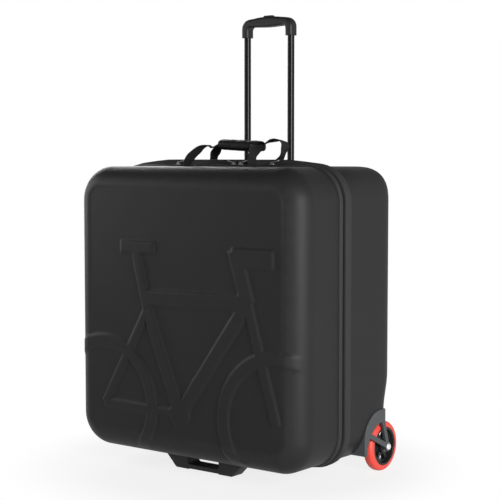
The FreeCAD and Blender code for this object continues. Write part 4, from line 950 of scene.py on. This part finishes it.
# Hold-down straps: two straps of thin webbing, bar-tacked to the tub's back wall at both ends. Each has a
# side-release buckle of black plastic: a socket with a window in each side, and a plug whose two prongs
# snap into the windows.
HOLD_X, HOLD_WIDTH, HOLD_THICK, HOLD_STEPS = 0.150, 0.025, 0.0018, 24
TACK_REACH, TACK_PLACES = 0.010, (0.006, 0.010, 0.030, 0.034)
SLACK, SLACK_WAVES = 0.0007, 3
HOLD_PITCH = 0.0013
BUCKLE_WIDTH, BUCKLE_DEPTH, BUCKLE_ROUNDING, BUCKLE_SEGMENTS = 0.034, 0.009, 0.28, 3
SOCKET_LENGTH, PLUG_LENGTH, PLUG_WIDTH = 0.035, 0.0185, 0.032
WINDOW_LENGTH, WINDOW_DEPTH, WINDOW_BACK = 0.017, 0.0046, 0.0125
PRONG_LENGTH, PRONG_WIDTH, PRONG_HEIGHT = 0.021, 0.0036, 0.0058
PRONG_AHEAD, PRONG_ROUNDING = 0.002625, 0.35
SLOT_LENGTH, SLOT_WIDTH, SLOT_INSET, CUT_ROUNDING = 0.004, 0.026, 0.006, 0.1

hold_low, hold_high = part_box("hold_down_straps")
hold_y = (hold_low.y + hold_high.y) / 2
hold_straps, tacks = [], []
for x in (-HOLD_X, HOLD_X):
    stations = []
    for step in range(HOLD_STEPS + 1):
        share = step / HOLD_STEPS
        slack = SLACK * (1 - math.cos(math.tau * SLACK_WAVES * share))
        place = Vector((x, hold_y - slack, hold_low.z + (hold_high.z - hold_low.z) * share))
        stations.append((place, X_AXIS * HOLD_WIDTH, -Y_AXIS))
    hold_straps.append(sweep("hold_down_webbing", strap_section(HOLD_THICK), stations))
    bpy.ops.object.mode_set(mode="OBJECT")
    for inset in TACK_PLACES:
        for z in (hold_low.z + inset, hold_high.z - inset):
            tack = Vector((x, hold_y - HOLD_THICK / 2, z))
            tacks += sewn_line(tack - X_AXIS * TACK_REACH, tack + X_AXIS * TACK_REACH, -Y_AXIS)
inner_webbing = webbing("inner_webbing", STRAP_DARK, STRAP_LIGHT, HOLD_PITCH)
set_piece(joined(*hold_straps), "case", "webbing", inner_webbing, replaces=["hold_down_straps"], angle=50)
set_piece(strew("hold_down_tacks", stitch, tacks), "case", "webbing", thread)
bpy.data.objects.remove(stitch)

buckles_low, buckles_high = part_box("strap_buckles")
buckle_end = (buckles_high.z - buckles_low.z) / 2
half_depth = BUCKLE_DEPTH / 2
socket_x, plug_x = -buckle_end + SOCKET_LENGTH / 2, buckle_end - PLUG_LENGTH / 2
socket = small_block("buckle", SOCKET_LENGTH, BUCKLE_WIDTH, BUCKLE_DEPTH, (socket_x, 0, half_depth),
                     BUCKLE_ROUNDING, BUCKLE_SEGMENTS)
plug = small_block("plug", PLUG_LENGTH, PLUG_WIDTH, BUCKLE_DEPTH, (plug_x, 0, half_depth),
                   BUCKLE_ROUNDING, BUCKLE_SEGMENTS)
prongs = []
for sign in (-1, 1):
    side_y = sign * (BUCKLE_WIDTH - WINDOW_DEPTH) / 2
    window_x = -buckle_end + WINDOW_BACK + WINDOW_LENGTH / 2
    cut_away(socket, small_block("window", WINDOW_LENGTH, WINDOW_DEPTH, 2 * BUCKLE_DEPTH,
                                 (window_x, side_y, half_depth), CUT_ROUNDING))
    prongs.append(small_block("prong", PRONG_LENGTH, PRONG_WIDTH, PRONG_HEIGHT,
                              (window_x + PRONG_AHEAD, side_y, half_depth), PRONG_ROUNDING, segments=2))
for piece, slot_x in ((socket, -buckle_end + SLOT_INSET), (plug, buckle_end - SLOT_INSET)):
    cut_away(piece, small_block("slot", SLOT_LENGTH, SLOT_WIDTH, 2 * BUCKLE_DEPTH,
                                (slot_x, 0, half_depth), CUT_ROUNDING))
buckle = joined(socket, plug, *prongs)
buckle_z = (buckles_low.z + buckles_high.z) / 2
buckle_spots = [(Vector((x, buckles_high.y, buckle_z)), Z_AXIS, -Y_AXIS) for x in (-HOLD_X, HOLD_X)]
set_piece(strew("side_release_buckles", buckle, buckle_spots), "case", "black_plastic", black_plastic,
          replaces=["strap_buckles"])
bpy.data.objects.remove(buckle)

# Studio: a pale floor that runs on into a white background, a large soft lamp on the right, weaker ones on
# the left and behind, and a camera about level with the top of the case. Its walls are white, and its
# ceiling is dark. Each lamp has its place, width, height and power.
FLOOR_SIZE, FLOOR_TONE, FLOOR_ROUGH = 40, (0.80, 0.80, 0.80), 0.9
# The floor is painted greyer within these distances of the middle of the case, a painted shadow round it;
# the lamps' own shadow on the floor also shows there.
PAINTED_SHADOW_NEAR, PAINTED_SHADOW_FAR, PAINTED_SHADOW_WHITE = 0.30, 0.55, 0.82
AMBIENT, MIRRORED = 0.12, 0.6
WHITE_WALL_TOP, DARK_CEILING, CEILING_SHARE = 0.2, 0.7, 0.15
LAMPS = {"key": ((2.75, -1.15, 0.85), 1.3, 1.3, 95), "fill": ((-1.4, -0.55, 0.8), 0.9, 0.9, 8),
         "back": ((-2.4, 1.6, 1.3), 1.6, 1.6, 40)}
LAMP_AIM = Vector((0, 0, 0.4))
CAMERA_PLACE = (1.84875, -2.34024, 0.69121)
CAMERA_TILT, CAMERA_TURN, LENS, SENSOR = math.radians(86), math.radians(37.7), 96.05, 36


def white_strength(material, mirrored, elsewhere):
    """How white the studio looks to a ray: 1 seen straight or through glass, less in reflections."""
    path = add_node(material, "ShaderNodeLightPath", {}).outputs
    direct = add_node(material, "ShaderNodeMath", {0: path["Is Camera Ray"], 1: path["Is Transmission Ray"]},
                      operation="MAXIMUM").outputs[0]
    return ranged(material, direct, ranged(material, path["Is Glossy Ray"], elsewhere, mirrored), 1.0)


floor = new_piece("floor", bpy.ops.mesh.primitive_plane_add, size=FLOOR_SIZE)
bpy.ops.object.mode_set(mode="OBJECT")
pale = new_finish("pale_floor", FLOOR_TONE, FLOOR_ROUGH)
floor_place = add_node(pale, "ShaderNodeTexCoord", {}).outputs["Object"]
distance = add_node(pale, "ShaderNodeVectorMath", {0: floor_place}, operation="LENGTH").outputs["Value"]
# Painted shadow: near the case the floor shows less of its white glow and more of its lit surface, so it is
# greyer there.
painted_shadow_white_share = add_node(pale, "ShaderNodeMapRange",
                       {"Value": distance, "From Min": PAINTED_SHADOW_NEAR, "From Max": PAINTED_SHADOW_FAR,
                        "To Min": PAINTED_SHADOW_WHITE, "To Max": 1.0}, interpolation_type="SMOOTHSTEP")
glow = add_node(pale, "ShaderNodeEmission", {"Color": (1, 1, 1, 1), "Strength": 1.0})
seen_white = multiplied(pale, white_strength(pale, MIRRORED, 0.0), painted_shadow_white_share.outputs["Result"])
lit_floor = add_node(pale, "ShaderNodeMixShader",
                     {0: seen_white, 1: pale.node_tree.nodes["Principled BSDF"].outputs[0],
                      2: glow.outputs[0]})
pale.node_tree.links.new(lit_floor.outputs[0], pale.node_tree.nodes["Material Output"].inputs["Surface"])
floor.data.materials.append(pale)

world = bpy.data.worlds.new("studio")
world.use_nodes = True
bpy.context.scene.world = world
background = world.node_tree.nodes["Background"]
background.inputs["Color"].default_value = (1, 1, 1, 1)
direction = add_node(world, "ShaderNodeTexCoord", {}).outputs["Generated"]
upward = add_node(world, "ShaderNodeSeparateXYZ", {"Vector": direction}).outputs["Z"]
wall = add_node(world, "ShaderNodeMapRange",
                {"Value": upward, "From Min": WHITE_WALL_TOP, "From Max": DARK_CEILING,
                 "To Min": 1.0, "To Max": CEILING_SHARE}).outputs["Result"]
strength = white_strength(world, multiplied(world, wall, MIRRORED), multiplied(world, wall, AMBIENT))
world.node_tree.links.new(strength, background.inputs["Strength"])

for name, (place, width, height, power) in LAMPS.items():
    lamp = bpy.data.lights.new(f"{name}_lamp", "AREA")
    lamp.shape, lamp.size, lamp.size_y, lamp.energy = "RECTANGLE", width, height, power
    holder = bpy.data.objects.new(f"{name}_lamp", lamp)
    holder.location = place
    holder.rotation_euler = (LAMP_AIM - Vector(place)).to_track_quat("-Z", "Y").to_euler()
    bpy.context.scene.collection.objects.link(holder)

camera_data = bpy.data.cameras.new("camera")
camera_data.lens, camera_data.sensor_width = LENS, SENSOR
camera = bpy.data.objects.new("camera", camera_data)
camera.location = CAMERA_PLACE
camera.rotation_euler = (CAMERA_TILT, 0, CAMERA_TURN)
bpy.context.scene.collection.objects.link(camera)
bpy.context.scene.camera = camera
bpy.context.scene.view_settings.view_transform = "Standard"
